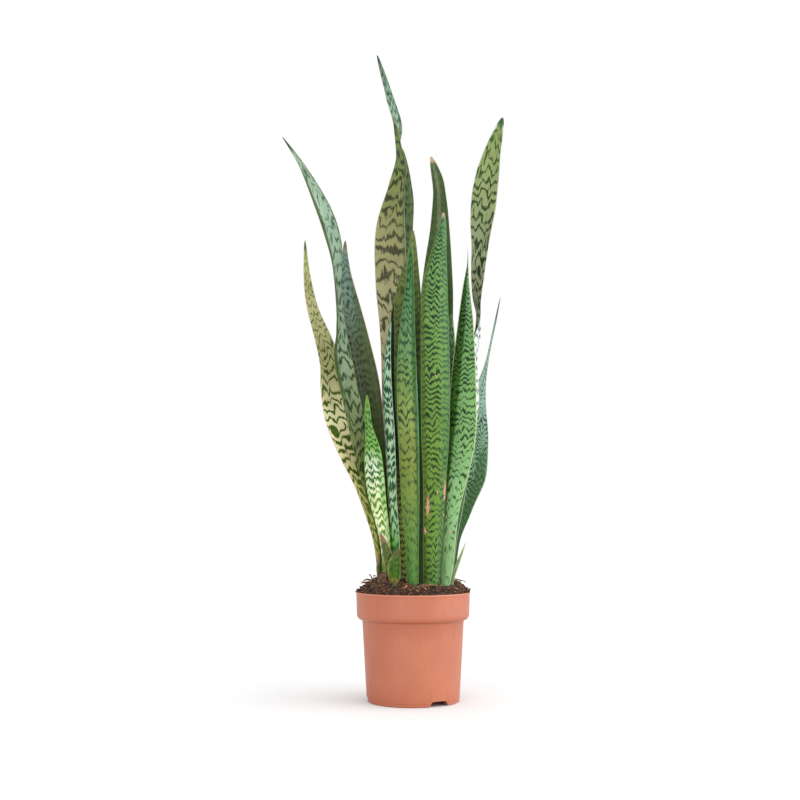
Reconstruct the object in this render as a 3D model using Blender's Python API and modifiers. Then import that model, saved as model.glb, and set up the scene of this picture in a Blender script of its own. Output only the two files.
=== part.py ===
"""A potted snake plant: sixteen sword leaves, a few sheaths, potting soil and a plastic nursery pot.

Metres, +Z up. The origin is the centre of the pot's underside, on the surface it stands on. +X is to the
right and +Y to the back, as the plant is looked at from the front. Leaf heights are measured from the rim.
"""

import math
from collections import namedtuple

import bmesh
import bpy
from mathutils import Vector, noise

# Pot: a turned thin wall with a stepped-out collar, a raised drainage channel and a foot ring.
POT_HEIGHT = 0.130
RIM_RADIUS = 0.070
COLLAR_TAPER = 0.0008
COLLAR_HEIGHT = 0.027
COLLAR_STEP = 0.0066
SHOULDER_DROP = 0.0065
BODY_TAPER = 0.0058
WALL = 0.0016
LIP_HEIGHT = 0.0024
LIP_STAND = 0.0006
FOOT_ROUND = 0.0020
FOOT_RING = 0.0060
CHANNEL_HEIGHT = 0.0062
PAD_RADIUS = 0.0280
POT_STEPS = 44

BODY_TOP_RADIUS = RIM_RADIUS - LIP_STAND - COLLAR_TAPER - COLLAR_STEP
FOOT_RADIUS = BODY_TOP_RADIUS - BODY_TAPER

# Openings in the pot's base.
NOTCH_COUNT = 3
FIRST_NOTCH_ANGLE = math.radians(-57)
NOTCH_WIDTH_BELOW = 0.030
NOTCH_WIDTH_ABOVE = 0.019
DRAIN_COUNT = 6
DRAIN_RADIUS = 0.0040

# Potting soil: fills the pot and is heaped above the rim.
GAP = 0.0003
SOIL_STEPS = 40
SOIL_RINGS = 8
EDGE_HEIGHT = -0.0020
DOME_HEIGHT = 0.0125
LUMP_HEIGHT = 0.0016
LUMP_SIZE = 0.011
Mound = namedtuple("Mound", "x y height spread")
MOUNDS = (Mound(-0.036, 0.002, 0.011, 0.024), Mound(0.050, 0.004, 0.010, 0.018))

# Leaves: a lens-shaped section, cupped away from its outer side, that runs along a smooth spine.
ROOT_DEPTH = 0.026
BASE_THICKNESS = 0.0060
BLADE_THICKNESS = 0.0030
TIP_THICKNESS = 0.0008
BASE_CUP = 0.24
BASE_ZONE = 0.10
RING_SPACING = 0.024
RING_TURN = 8.0
MEASURE_STEP = 0.001
COLLAR_MARGIN = 0.008
SHORTEST_COLLAR = 0.9
SECTION_SPOTS = (-0.55, 0.0, 0.55)
SHARPEST_CORNER = 0.3

# One station of a leaf: height over the rim, place of the midrib, full width, and turn of the outer side
# in degrees. At a turn of 0 the outer side faces the front (-Y), at 180 it faces the back.
Station = namedtuple("Station", "height x y width turn")
Leaf = namedtuple("Leaf", "name colour cup stations")

LEAVES = (
    Leaf("leaf_tallest", (0.36, 0.38, 0.22), 0.15, (
        Station(0.000, -0.013, 0.014, 0.015, 178),
        Station(0.090, -0.019, 0.018, 0.019, 178),
        Station(0.190, -0.025, 0.022, 0.023, 178),
        Station(0.320, -0.026, 0.028, 0.030, 178),
        Station(0.392, -0.027, 0.031, 0.040, 176),
        Station(0.455, -0.027, 0.033, 0.040, 165),
        Station(0.487, -0.023, 0.034, 0.036, 147),
        Station(0.525, -0.019, 0.034, 0.031, 119),
        Station(0.576, -0.021, 0.034, 0.024, 98),
        Station(0.617, -0.025, 0.033, 0.018, 52),
        Station(0.651, -0.033, 0.032, 0.011, 30),
        Station(0.675, -0.040, 0.031, 0.005, 20),
        Station(0.694, -0.046, 0.030, 0.000, 20))),
    Leaf("leaf_right_tall", (0.48, 0.55, 0.36), 0.12, (
        Station(0.000, 0.039, -0.012, 0.015, 15),
        Station(0.065, 0.047, -0.011, 0.018, 18),
        Station(0.140, 0.058, -0.010, 0.021, 22),
        Station(0.237, 0.069, -0.006, 0.025, 35),
        Station(0.300, 0.074, -0.003, 0.022, 62),
        Station(0.340, 0.079, -0.001, 0.020, 100),
        Station(0.387, 0.083, 0.000, 0.021, 138),
        Station(0.430, 0.086, 0.001, 0.024, 152),
        Station(0.476, 0.090, 0.002, 0.033, 162),
        Station(0.524, 0.096, 0.003, 0.031, 165),
        Station(0.560, 0.104, 0.003, 0.020, 165),
        Station(0.584, 0.111, 0.003, 0.008, 165),
        Station(0.598, 0.115, 0.003, 0.000, 165))),
    Leaf("leaf_left_tall", (0.62, 0.75, 0.58), 0.17, (
        Station(0.000, -0.030, -0.010, 0.012, 190),
        Station(0.077, -0.038, -0.010, 0.017, 190),
        Station(0.150, -0.057, -0.010, 0.022, 190),
        Station(0.232, -0.076, -0.009, 0.023, 194),
        Station(0.288, -0.088, -0.009, 0.024, 203),
        Station(0.318, -0.090, -0.008, 0.022, 234),
        Station(0.360, -0.091, -0.007, 0.022, 254),
        Station(0.400, -0.093, -0.006, 0.022, 240),
        Station(0.434, -0.098, -0.006, 0.023, 216),
        Station(0.476, -0.113, -0.006, 0.021, 206),
        Station(0.515, -0.131, -0.006, 0.013, 202),
        Station(0.541, -0.145, -0.006, 0.006, 200),
        Station(0.572, -0.166, -0.006, 0.000, 200))),
    Leaf("leaf_back_right", (0.20, 0.27, 0.16), 0.12, (
        Station(0.000, 0.026, 0.018, 0.015, 184),
        Station(0.089, 0.027, 0.022, 0.021, 184),
        Station(0.188, 0.028, 0.029, 0.030, 184),
        Station(0.289, 0.031, 0.033, 0.038, 184),
        Station(0.365, 0.031, 0.035, 0.042, 184),
        Station(0.410, 0.033, 0.035, 0.036, 184),
        Station(0.464, 0.0355, 0.035, 0.025, 184),
        Station(0.510, 0.035, 0.035, 0.017, 184),
        Station(0.540, 0.030, 0.035, 0.009, 184),
        Station(0.557, 0.025, 0.035, 0.000, 184))),
    Leaf("leaf_back_centre", (0.28, 0.31, 0.22), 0.12, (
        Station(0.000, -0.005, 0.024, 0.014, 182),
        Station(0.114, -0.010, 0.031, 0.016, 182),
        Station(0.240, -0.013, 0.038, 0.020, 182),
        Station(0.368, -0.014, 0.045, 0.024, 182),
        Station(0.455, -0.012, 0.048, 0.025, 184),
        Station(0.503, -0.010, 0.049, 0.024, 186),
        Station(0.538, -0.0105, 0.049, 0.015, 186),
        Station(0.556, -0.012, 0.049, 0.008, 186),
        Station(0.573, -0.0135, 0.049, 0.000, 186))),
    Leaf("leaf_outer_left", (0.66, 0.66, 0.42), 0.16, (
        Station(0.000, -0.035, 0.000, 0.014, 196),
        Station(0.065, -0.041, 0.001, 0.020, 196),
        Station(0.101, -0.050, 0.001, 0.025, 197),
        Station(0.138, -0.062, 0.002, 0.030, 198),
        Station(0.175, -0.079, 0.003, 0.034, 198),
        Station(0.212, -0.093, 0.004, 0.036, 198),
        Station(0.249, -0.1005, 0.005, 0.033, 197),
        Station(0.281, -0.104, 0.006, 0.027, 196),
        Station(0.313, -0.113, 0.006, 0.022, 194),
        Station(0.351, -0.126, 0.006, 0.015, 192),
        Station(0.384, -0.1325, 0.006, 0.011, 190),
        Station(0.412, -0.135, 0.006, 0.006, 190),
        Station(0.440, -0.1365, 0.006, 0.000, 190))),
    Leaf("leaf_back_left", (0.22, 0.31, 0.24), 0.12, (
        Station(0.000, -0.027, 0.010, 0.014, 176),
        Station(0.089, -0.035, 0.012, 0.017, 176),
        Station(0.138, -0.044, 0.013, 0.020, 176),
        Station(0.188, -0.049, 0.014, 0.025, 176),
        Station(0.257, -0.057, 0.015, 0.030, 176),
        Station(0.333, -0.0725, 0.016, 0.026, 176),
        Station(0.365, -0.079, 0.016, 0.021, 176),
        Station(0.410, -0.0855, 0.016, 0.010, 176),
        Station(0.442, -0.086, 0.016, 0.000, 176))),
    Leaf("leaf_front_centre", (0.28, 0.45, 0.20), 0.17, (
        Station(0.000, 0.000, -0.032, 0.014, 4),
        Station(0.053, -0.001, -0.033, 0.0165, 4),
        Station(0.108, -0.003, -0.034, 0.022, 4),
        Station(0.186, -0.005, -0.034, 0.0255, 4),
        Station(0.250, -0.007, -0.033, 0.0255, 4),
        Station(0.308, -0.007, -0.032, 0.021, 4),
        Station(0.357, -0.0045, -0.031, 0.014, 4),
        Station(0.402, -0.003, -0.030, 0.007, 4),
        Station(0.430, -0.002, -0.030, 0.000, 4))),
    Leaf("leaf_front_right", (0.38, 0.55, 0.22), 0.13, (
        Station(0.000, 0.022, -0.028, 0.020, 0),
        Station(0.064, 0.024, -0.029, 0.0245, 0),
        Station(0.131, 0.026, -0.031, 0.028, 0),
        Station(0.186, 0.027, -0.032, 0.034, 0),
        Station(0.253, 0.0275, -0.032, 0.036, 0),
        Station(0.309, 0.027, -0.032, 0.035, 0),
        Station(0.370, 0.027, -0.031, 0.032, 0),
        Station(0.400, 0.030, -0.031, 0.025, 0),
        Station(0.435, 0.035, -0.030, 0.013, 0),
        Station(0.466, 0.038, -0.029, 0.000, 0))),
    Leaf("leaf_keeled_right", (0.32, 0.45, 0.22), 0.24, (
        Station(0.000, 0.038, -0.025, 0.011, -4),
        Station(0.044, 0.042, -0.026, 0.015, -4),
        Station(0.094, 0.0465, -0.027, 0.017, -4),
        Station(0.140, 0.053, -0.027, 0.026, -4),
        Station(0.186, 0.059, -0.027, 0.034, -4),
        Station(0.235, 0.061, -0.027, 0.0325, -4),
        Station(0.275, 0.0625, -0.027, 0.0285, -4),
        Station(0.334, 0.065, -0.026, 0.0185, -4),
        Station(0.377, 0.066, -0.025, 0.008, -4),
        Station(0.402, 0.068, -0.025, 0.0018, -4),
        Station(0.426, 0.068, -0.025, 0.000, -4))),
    Leaf("leaf_bowed_right", (0.38, 0.48, 0.36), 0.13, (
        Station(0.000, 0.043, -0.001, 0.011, 204),
        Station(0.067, 0.051, 0.004, 0.017, 204),
        Station(0.105, 0.062, 0.008, 0.026, 204),
        Station(0.141, 0.0735, 0.012, 0.034, 204),
        Station(0.180, 0.078, 0.014, 0.034, 206),
        Station(0.214, 0.0805, 0.015, 0.027, 210),
        Station(0.249, 0.0845, 0.016, 0.017, 214),
        Station(0.288, 0.094, 0.016, 0.0055, 220),
        Station(0.338, 0.105, 0.016, 0.0035, 220),
        Station(0.372, 0.1125, 0.016, 0.000, 220))),
    Leaf("leaf_behind_centre", (0.32, 0.36, 0.18), 0.12, (
        Station(0.000, 0.001, -0.018, 0.014, 176),
        Station(0.070, 0.001, -0.017, 0.0195, 176),
        Station(0.167, -0.003, -0.015, 0.023, 176),
        Station(0.236, -0.0055, -0.014, 0.028, 176),
        Station(0.310, -0.0055, -0.013, 0.031, 176),
        Station(0.359, -0.007, -0.012, 0.029, 176),
        Station(0.388, -0.004, -0.012, 0.022, 176),
        Station(0.416, -0.001, -0.012, 0.010, 176),
        Station(0.448, 0.000, -0.012, 0.000, 176))),
    Leaf("leaf_dark_centre", (0.13, 0.19, 0.10), 0.12, (
        Station(0.000, -0.009, -0.005, 0.014, 180),
        Station(0.078, -0.011, -0.003, 0.017, 180),
        Station(0.187, -0.017, 0.000, 0.020, 180),
        Station(0.249, -0.020, 0.001, 0.019, 180),
        Station(0.312, -0.0235, 0.002, 0.015, 180),
        Station(0.340, -0.023, 0.002, 0.008, 180),
        Station(0.363, -0.022, 0.002, 0.000, 180))),
    Leaf("leaf_narrow_left", (0.35, 0.52, 0.42), 0.15, (
        Station(0.000, -0.021, -0.018, 0.012, -30),
        Station(0.059, -0.023, -0.019, 0.0135, -32),
        Station(0.117, -0.0265, -0.019, 0.014, -36),
        Station(0.187, -0.0295, -0.018, 0.016, -38),
        Station(0.240, -0.0325, -0.017, 0.015, -38),
        Station(0.280, -0.032, -0.016, 0.011, -38),
        Station(0.311, -0.030, -0.016, 0.006, -38),
        Station(0.339, -0.027, -0.016, 0.000, -38))),
    Leaf("leaf_variegated", (0.72, 0.80, 0.55), 0.14, (
        Station(0.000, -0.0305, -0.018, 0.010, -8),
        Station(0.058, -0.034, -0.021, 0.013, -8),
        Station(0.086, -0.0385, -0.022, 0.017, -8),
        Station(0.109, -0.043, -0.022, 0.021, -8),
        Station(0.137, -0.047, -0.022, 0.024, -8),
        Station(0.160, -0.049, -0.022, 0.0225, -8),
        Station(0.179, -0.0505, -0.022, 0.018, -8),
        Station(0.200, -0.054, -0.021, 0.0095, -8),
        Station(0.221, -0.056, -0.021, 0.006, -8),
        Station(0.240, -0.0565, -0.021, 0.000, -8))),
    Leaf("leaf_short_right", (0.16, 0.27, 0.14), 0.12, (
        Station(0.000, 0.038, 0.013, 0.013, 182),
        Station(0.064, 0.0395, 0.010, 0.0125, 182),
        Station(0.139, 0.0435, 0.006, 0.013, 182),
        Station(0.214, 0.0455, 0.004, 0.014, 182),
        Station(0.277, 0.046, 0.004, 0.015, 182),
        Station(0.310, 0.0465, 0.004, 0.013, 182),
        Station(0.332, 0.0475, 0.004, 0.005, 182),
        Station(0.344, 0.0485, 0.004, 0.000, 182))),
    Leaf("sheath_front", (0.16, 0.33, 0.12), 0.22, (
        Station(0.000, -0.0225, -0.034, 0.013, 6),
        Station(0.020, -0.0225, -0.034, 0.0135, 6),
        Station(0.034, -0.0225, -0.034, 0.0125, 6),
        Station(0.044, -0.021, -0.034, 0.0085, 6),
        Station(0.052, -0.0185, -0.034, 0.000, 6))),
    Leaf("sheath_left", (0.14, 0.27, 0.14), 0.20, (
        Station(0.000, -0.0265, -0.0255, 0.008, -10),
        Station(0.020, -0.028, -0.0265, 0.010, -10),
        Station(0.038, -0.029, -0.0275, 0.012, -10),
        Station(0.054, -0.0335, -0.0280, 0.008, -10),
        Station(0.070, -0.039, -0.0285, 0.000, -10))),
    Leaf("sheath_outer_left", (0.22, 0.30, 0.14), 0.18, (
        Station(0.000, -0.040, -0.0115, 0.0065, 20),
        Station(0.020, -0.0410, -0.0140, 0.0065, 20),
        Station(0.036, -0.0415, -0.0165, 0.0045, 20),
        Station(0.046, -0.0412, -0.0180, 0.000, 20))),
    Leaf("sheath_right_spike", (0.30, 0.50, 0.28), 0.16, (
        Station(0.000, 0.0465, -0.018, 0.006, 10),
        Station(0.018, 0.0480, -0.019, 0.0055, 10),
        Station(0.032, 0.0530, -0.020, 0.0045, 10),
        Station(0.045, 0.0580, -0.020, 0.0028, 10),
        Station(0.062, 0.0645, -0.020, 0.000, 10))),
    Leaf("young_shoot", (0.14, 0.36, 0.10), 0.10, (
        Station(0.000, -0.0225, -0.0430, 0.0060, 0),
        Station(0.010, -0.0225, -0.0430, 0.0060, 0),
        Station(0.020, -0.0220, -0.0428, 0.000, 0))),
)

# Loose pieces that lie on the soil.
BARK_PLACE = (-0.0365, -0.0300)
BARK_SIZE = (0.0085, 0.0060, 0.0170)
BARK_TILT = (8, -14, 20)
BARK_SINK = 0.0020
TWIG_FOOT = (-0.0480, -0.0180)
TWIG_RISE = (-0.0050, -0.0010, 0.0130)
TWIG_BURIED = 0.30
TWIG_RADIUS = 0.0007
TWIG_BEND = 0.0012

TERRACOTTA = (0.58, 0.18, 0.08)
SOIL_BROWN = (0.060, 0.030, 0.018)
BARK_BROWN = (0.085, 0.040, 0.026)
TWIG_BROWN = (0.035, 0.026, 0.028)


def clear_scene():
    for obj in list(bpy.data.objects):
        bpy.data.objects.remove(obj)


def new_collection(name, hidden=False):
    collection = bpy.data.collections.new(name)
    collection.hide_render = hidden
    bpy.context.scene.collection.children.link(collection)
    return collection


def material(name, colour, roughness, metallic=0.0):
    made = bpy.data.materials.new(name)
    made.use_nodes = True
    shader = made.node_tree.nodes["Principled BSDF"]
    shader.inputs["Base Color"].default_value = (*colour, 1.0)
    shader.inputs["Roughness"].default_value = roughness
    shader.inputs["Metallic"].default_value = metallic
    return made


def object_of(name, mesh, collection):
    made = bpy.data.objects.new(name, mesh)
    collection.objects.link(made)
    return made


def finished(obj, its_material, sharp_angle=40):
    """Gives the object its only material, and shades its round faces smooth."""
    obj.data.materials.clear()
    obj.data.materials.append(its_material)
    obj.data.shade_smooth()
    obj.data.set_sharp_from_angle(angle=math.radians(sharp_angle))


def mesh_of(obj):
    """The object's mesh with its modifiers applied and doubles merged. The object is removed."""
    graph = bpy.context.evaluated_depsgraph_get()
    mesh = bpy.data.meshes.new_from_object(obj.evaluated_get(graph))
    bpy.data.objects.remove(obj)
    shape = bmesh.new()
    shape.from_mesh(mesh)
    bmesh.ops.remove_doubles(shape, verts=shape.verts, dist=1e-6)
    bmesh.ops.recalc_face_normals(shape, faces=shape.faces)
    shape.to_mesh(mesh)
    shape.free()
    return mesh


def turned(name, profile, steps, collection):
    """Turns a profile of (radius, height) points round the Z axis with a Screw modifier."""
    mesh = bpy.data.meshes.new(name)
    points = [(radius, 0.0, height) for radius, height in profile]
    edges = [(i, (i + 1) % len(points)) for i in range(len(points))]
    if profile[0][0] == profile[-1][0] == 0.0:
        edges.pop()
    mesh.from_pydata(points, edges, [])
    obj = object_of(name, mesh, collection)
    screw = obj.modifiers.new("turn", "SCREW")
    screw.steps = screw.render_steps = steps
    screw.use_merge_vertices = True
    screw.merge_threshold = 0.00001
    bpy.context.view_layer.update()
    return object_of(name, mesh_of(obj), collection)


def cut(obj, cutter):
    """Takes the cutter out of the object with a Boolean modifier."""
    cutter.hide_render = True
    cutter.display_type = "WIRE"
    boolean = obj.modifiers.new("cut_" + cutter.name, "BOOLEAN")
    boolean.operation = "DIFFERENCE"
    boolean.solver = "EXACT"
    boolean.object = cutter


# Pot


def shoulder_height():
    return POT_HEIGHT - COLLAR_HEIGHT - SHOULDER_DROP


def outer_profile():
    """The pot's outside, from the rim down to the underside of the foot ring."""
    lip = POT_HEIGHT - LIP_HEIGHT
    collar_radius = RIM_RADIUS - LIP_STAND
    collar_foot = POT_HEIGHT - COLLAR_HEIGHT
    points = [
        (RIM_RADIUS - WALL / 3, POT_HEIGHT),
        (RIM_RADIUS, POT_HEIGHT - WALL / 3),
        (RIM_RADIUS, lip),
        (collar_radius, lip - LIP_STAND),
        (collar_radius - COLLAR_TAPER, collar_foot),
    ]
    for degrees in (30, 60, 90):
        angle = math.radians(degrees)
        points.append(
            (
                BODY_TOP_RADIUS + COLLAR_STEP * math.cos(angle),
                collar_foot - SHOULDER_DROP * math.sin(angle),
            )
        )
    points.append((FOOT_RADIUS, FOOT_ROUND))
    points.append((FOOT_RADIUS - FOOT_ROUND * 0.3, FOOT_ROUND * 0.3))
    points.append((FOOT_RADIUS - FOOT_ROUND, 0.0))
    return points


def inner_profile(clearance=0.0):
    """The pot's inside, from the rim down to the middle of its floor, moved inwards by a clearance."""
    collar_inner = RIM_RADIUS - LIP_STAND - COLLAR_TAPER - WALL
    body_inner = BODY_TOP_RADIUS - WALL
    foot_inner = FOOT_RADIUS - WALL
    floor = CHANNEL_HEIGHT + WALL
    pad = PAD_RADIUS - WALL
    points = [
        (collar_inner + COLLAR_TAPER, POT_HEIGHT),
        (collar_inner, POT_HEIGHT - COLLAR_HEIGHT + WALL),
        (body_inner, shoulder_height() + WALL),
        (foot_inner, floor),
        (pad + WALL, floor),
        (pad, WALL),
        (0.0, WALL),
    ]
    return [(max(radius - clearance, 0.0), height + clearance) for radius, height in points]


def pot(parts, cutters):
    ring_inner = FOOT_RADIUS - FOOT_RING
    underside = [
        (ring_inner, 0.0),
        (ring_inner - WALL, CHANNEL_HEIGHT),
        (PAD_RADIUS + WALL, CHANNEL_HEIGHT),
        (PAD_RADIUS, 0.0),
        (0.0, 0.0),
    ]
    profile = inner_profile()[::-1] + outer_profile() + underside
    made = turned("pot", profile, POT_STEPS, parts)
    finished(made, material("terracotta_plastic", TERRACOTTA, 0.42))
    for number in range(NOTCH_COUNT):
        cut(made, notch_cutter(number, ring_inner, cutters))
    for number in range(DRAIN_COUNT):
        cut(made, drain_cutter(number, (ring_inner + PAD_RADIUS) / 2, cutters))
    return made


def notch_cutter(number, ring_inner, cutters):
    """A tapered block across the foot ring, narrower at its top."""
    angle = FIRST_NOTCH_ANGLE + number * math.tau / NOTCH_COUNT
    reach = (ring_inner - 2 * WALL, FOOT_RADIUS + WALL)
    shape = bmesh.new()
    bmesh.ops.create_cube(shape, size=1.0)
    for vertex in shape.verts:
        top = vertex.co.z > 0
        width = NOTCH_WIDTH_ABOVE if top else NOTCH_WIDTH_BELOW
        vertex.co.x = reach[1] if vertex.co.x > 0 else reach[0]
        vertex.co.y *= width
        vertex.co.z = CHANNEL_HEIGHT - GAP if top else -WALL
    return cutter_of(f"notch_{number}", shape, cutters, angle)


def drain_cutter(number, distance, cutters):
    angle = (number + 0.5) * math.tau / DRAIN_COUNT + FIRST_NOTCH_ANGLE
    shape = bmesh.new()
    depth = CHANNEL_HEIGHT + 3 * WALL
    bmesh.ops.create_cone(
        shape, cap_ends=True, segments=12, radius1=DRAIN_RADIUS, radius2=DRAIN_RADIUS, depth=depth
    )
    bmesh.ops.translate(shape, verts=shape.verts, vec=(distance, 0.0, CHANNEL_HEIGHT + WALL / 2))
    return cutter_of(f"drain_{number}", shape, cutters, angle)


def cutter_of(name, shape, cutters, angle=0.0):
    mesh = bpy.data.meshes.new(name)
    shape.to_mesh(mesh)
    shape.free()
    made = object_of(name, mesh, cutters)
    made.rotation_euler.z = angle
    return made


# Soil


def soil_height(x, y):
    """Height of the soil's surface over the rim, without its small lumps."""
    share = math.hypot(x, y) / RIM_RADIUS
    height = EDGE_HEIGHT + DOME_HEIGHT * max(0.0, 1 - share * share)
    fade = max(0.0, 1 - share**6)
    for mound in MOUNDS:
        distance = math.hypot(x - mound.x, y - mound.y)
        height += fade * mound.height * math.exp(-((distance / mound.spread) ** 2) / 2)
    return height


def lumps(x, y):
    return LUMP_HEIGHT * noise.noise(Vector((x, y, 0.0)) / LUMP_SIZE)


def soil(parts):
    """The soil is turned to the pot's inside, and then its top is heaped."""
    wall = inner_profile(GAP)
    edge = wall[0][0]
    wall[0] = (edge, POT_HEIGHT + EDGE_HEIGHT)
    top = [(edge * ring / SOIL_RINGS, POT_HEIGHT + EDGE_HEIGHT) for ring in range(SOIL_RINGS)]
    made = turned("potting_soil", top + wall, SOIL_STEPS, parts)
    for vertex in made.data.vertices:
        x, y, z = vertex.co
        if z > POT_HEIGHT + EDGE_HEIGHT - 1e-5:
            vertex.co.z = POT_HEIGHT + soil_height(x, y) + lumps(x, y)
    finished(made, material("soil", SOIL_BROWN, 0.95), 60)
    return made


# Leaves


def blended(stations, height):
    """All values of a leaf at a height, on smooth curves through its stations."""
    heights = [station.height for station in stations]
    last = len(stations) - 1
    at = min(max(sum(h <= height for h in heights) - 1, 0), last - 1)
    span = heights[at + 1] - heights[at]
    t = (height - heights[at]) / span
    weights = (2 * t**3 - 3 * t**2 + 1, t**3 - 2 * t**2 + t, 3 * t**2 - 2 * t**3, t**3 - t**2)
    values = []
    for field in range(5):
        low, high = stations[at][field], stations[at + 1][field]
        slopes = [slope(stations, i, field) * span for i in (at, at + 1)]
        values.append(
            weights[0] * low + weights[1] * slopes[0] + weights[2] * high + weights[3] * slopes[1]
        )
    return Station(*values)


def slope(stations, at, field):
    """Change of one value per unit of height at a station, from its two neighbours."""
    before = stations[max(at - 1, 0)]
    after = stations[min(at + 1, len(stations) - 1)]
    return (after[field] - before[field]) / (after.height - before.height)


def thickness_at(station, tip_height):
    """Thick and fleshy at the base, thinner along the blade, thin at the tip."""
    base = max(0.0, 1 - max(station.height, 0.0) / BASE_ZONE)
    blade = BLADE_THICKNESS + (BASE_THICKNESS - BLADE_THICKNESS) * base
    share = max(station.height, 0.0) / tip_height
    thickness = blade + (TIP_THICKNESS - blade) * share**3
    return min(thickness, 0.42 * station.width)


def cup_at(station, cup):
    base = max(0.0, 1 - max(station.height, 0.0) / BASE_ZONE)
    return cup + (BASE_CUP - cup) * base


def section(station, cup, thickness):
    """Points round one section as (along the width, towards the outer side), anticlockwise from above."""
    half = station.width / 2
    depth = cup_at(station, cup) * station.width
    outer = [(half * u, thickness / 2 * (1 - u * u) - depth * abs(u) ** 1.5) for u in SECTION_SPOTS]
    inner = [(half * u, -thickness / 2 * (1 - u * u) - depth * abs(u) ** 1.5) for u in SECTION_SPOTS]
    return [(-half, -depth), *outer, (half, -depth), *inner[::-1]]


def grown(points, distance):
    """The closed outline moved outwards by a distance, with its corners kept sharp."""
    moved = []
    for at, point in enumerate(points):
        before = Vector(point) - Vector(points[at - 1])
        after = Vector(points[(at + 1) % len(points)]) - Vector(point)
        normals = [Vector((-edge.y, edge.x)).normalized() for edge in (before, after)]
        corner = (normals[0] + normals[1]).normalized()
        reach = distance / max(corner.dot(normals[0]), SHARPEST_CORNER)
        moved.append(tuple(Vector(point) + corner * reach))
    return moved


def ring_of(leaf, height, grow):
    """One ring of points round the leaf, square to its spine. Below the rim it is level."""
    station = blended(leaf.stations, max(height, 0.0))
    thickness = thickness_at(station._replace(height=height), leaf.stations[-1].height)
    middle = Vector((station.x, station.y, POT_HEIGHT + height))
    step = 0.002
    tip = leaf.stations[-1].height
    low = blended(leaf.stations, min(max(height - step, 0.0), tip))
    high = blended(leaf.stations, min(max(height + step, 0.0), tip))
    rise = max(high.height - low.height, step / 2)
    lean = min(max(height, 0.0) / BASE_ZONE * 2, 1.0)
    along = Vector(((high.x - low.x) * lean, (high.y - low.y) * lean, rise)).normalized()
    turn = math.radians(station.turn)
    outward = Vector((math.sin(turn), -math.cos(turn), 0.0))
    outward = (outward - outward.dot(along) * along).normalized()
    across = along.cross(outward)
    points = grown(section(station._replace(height=height), leaf.cup, thickness), grow)
    return [middle - across * side + outward * out for side, out in points]


def ring_heights(leaf):
    """Heights of the leaf's rings: root end, rim, just over the soil, and then up the blade to its tip.

    They are RING_SPACING apart, or closer where the leaf turns more than RING_TURN degrees on the way.
    """
    base, tip = leaf.stations[0], leaf.stations[-1]
    collar = min(soil_height(base.x, base.y) + COLLAR_MARGIN, tip.height * SHORTEST_COLLAR)
    steps = math.ceil((tip.height - collar) / MEASURE_STEP)
    marks = [collar + (tip.height - collar) * number / steps for number in range(steps + 1)]
    turns = [blended(leaf.stations, mark).turn for mark in marks]
    rings_used = [0.0]
    for at in range(steps):
        rise = (marks[at + 1] - marks[at]) / RING_SPACING
        twist = abs(turns[at + 1] - turns[at]) / RING_TURN
        rings_used.append(rings_used[-1] + max(rise, twist))
    count = max(2, math.ceil(rings_used[-1]))
    blade = []
    for number in range(1, count):
        wanted = rings_used[-1] * number / count
        blade.append(next(mark for mark, used in zip(marks, rings_used) if used >= wanted))
    return [-ROOT_DEPTH, 0.0, collar, *blade]


def lofted(name, rings, tip=None):
    """Joins rings of points into one closed mesh, which ends in a point or in a flat cap."""
    shape = bmesh.new()
    loops = [[shape.verts.new(point) for point in ring] for ring in rings]
    around = len(loops[0])
    for below, above in zip(loops, loops[1:]):
        for i in range(around):
            j = (i + 1) % around
            shape.faces.new((below[i], below[j], above[j], above[i]))
    shape.faces.new(loops[0][::-1])
    if tip is None:
        shape.faces.new(loops[-1])
    else:
        point = shape.verts.new(tip)
        for i in range(around):
            shape.faces.new((loops[-1][i], loops[-1][(i + 1) % around], point))
    bmesh.ops.recalc_face_normals(shape, faces=shape.faces)
    mesh = bpy.data.meshes.new(name)
    shape.to_mesh(mesh)
    shape.free()
    return mesh


def leaf_mesh(leaf):
    tip = leaf.stations[-1]
    rings = [ring_of(leaf, height, 0.0) for height in ring_heights(leaf)]
    return lofted(leaf.name, rings, (tip.x, tip.y, POT_HEIGHT + tip.height))


def pocket_mesh(leaf):
    """The buried end of the leaf, a gap larger all round, up to just over the soil."""
    rings = [ring_of(leaf, height, GAP) for height in ring_heights(leaf)[:3]]
    rings[0] = [point - Vector((0.0, 0.0, GAP)) for point in rings[0]]
    return lofted("pocket_" + leaf.name, rings)


def leaves(parts, pockets):
    """Each leaf stands in a pocket of the soil that is a gap wider than its root end."""
    for leaf in LEAVES:
        made = object_of(leaf.name, leaf_mesh(leaf), parts)
        finished(made, material(leaf.name, leaf.colour, 0.45), 75)
        object_of("pocket_" + leaf.name, pocket_mesh(leaf), pockets)


# Loose pieces


def bark_mesh(grow):
    """A broken chip of bark: a subdivided block with its corners pulled about."""
    shape = bmesh.new()
    bmesh.ops.create_cube(shape, size=1.0)
    bmesh.ops.subdivide_edges(shape, edges=shape.edges, cuts=2, use_grid_fill=True)
    for vertex in shape.verts:
        rough = 1 + 0.28 * noise.noise(vertex.co * 2.3 + Vector((4.0, 1.0, 7.0)))
        rounded = 1 - 0.16 * (vertex.co.length - 0.5)
        for axis in range(3):
            size = BARK_SIZE[axis] + 2 * grow
            vertex.co[axis] *= rough * rounded * size
    mesh = bpy.data.meshes.new("bark_chip")
    shape.to_mesh(mesh)
    shape.free()
    return mesh


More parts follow.
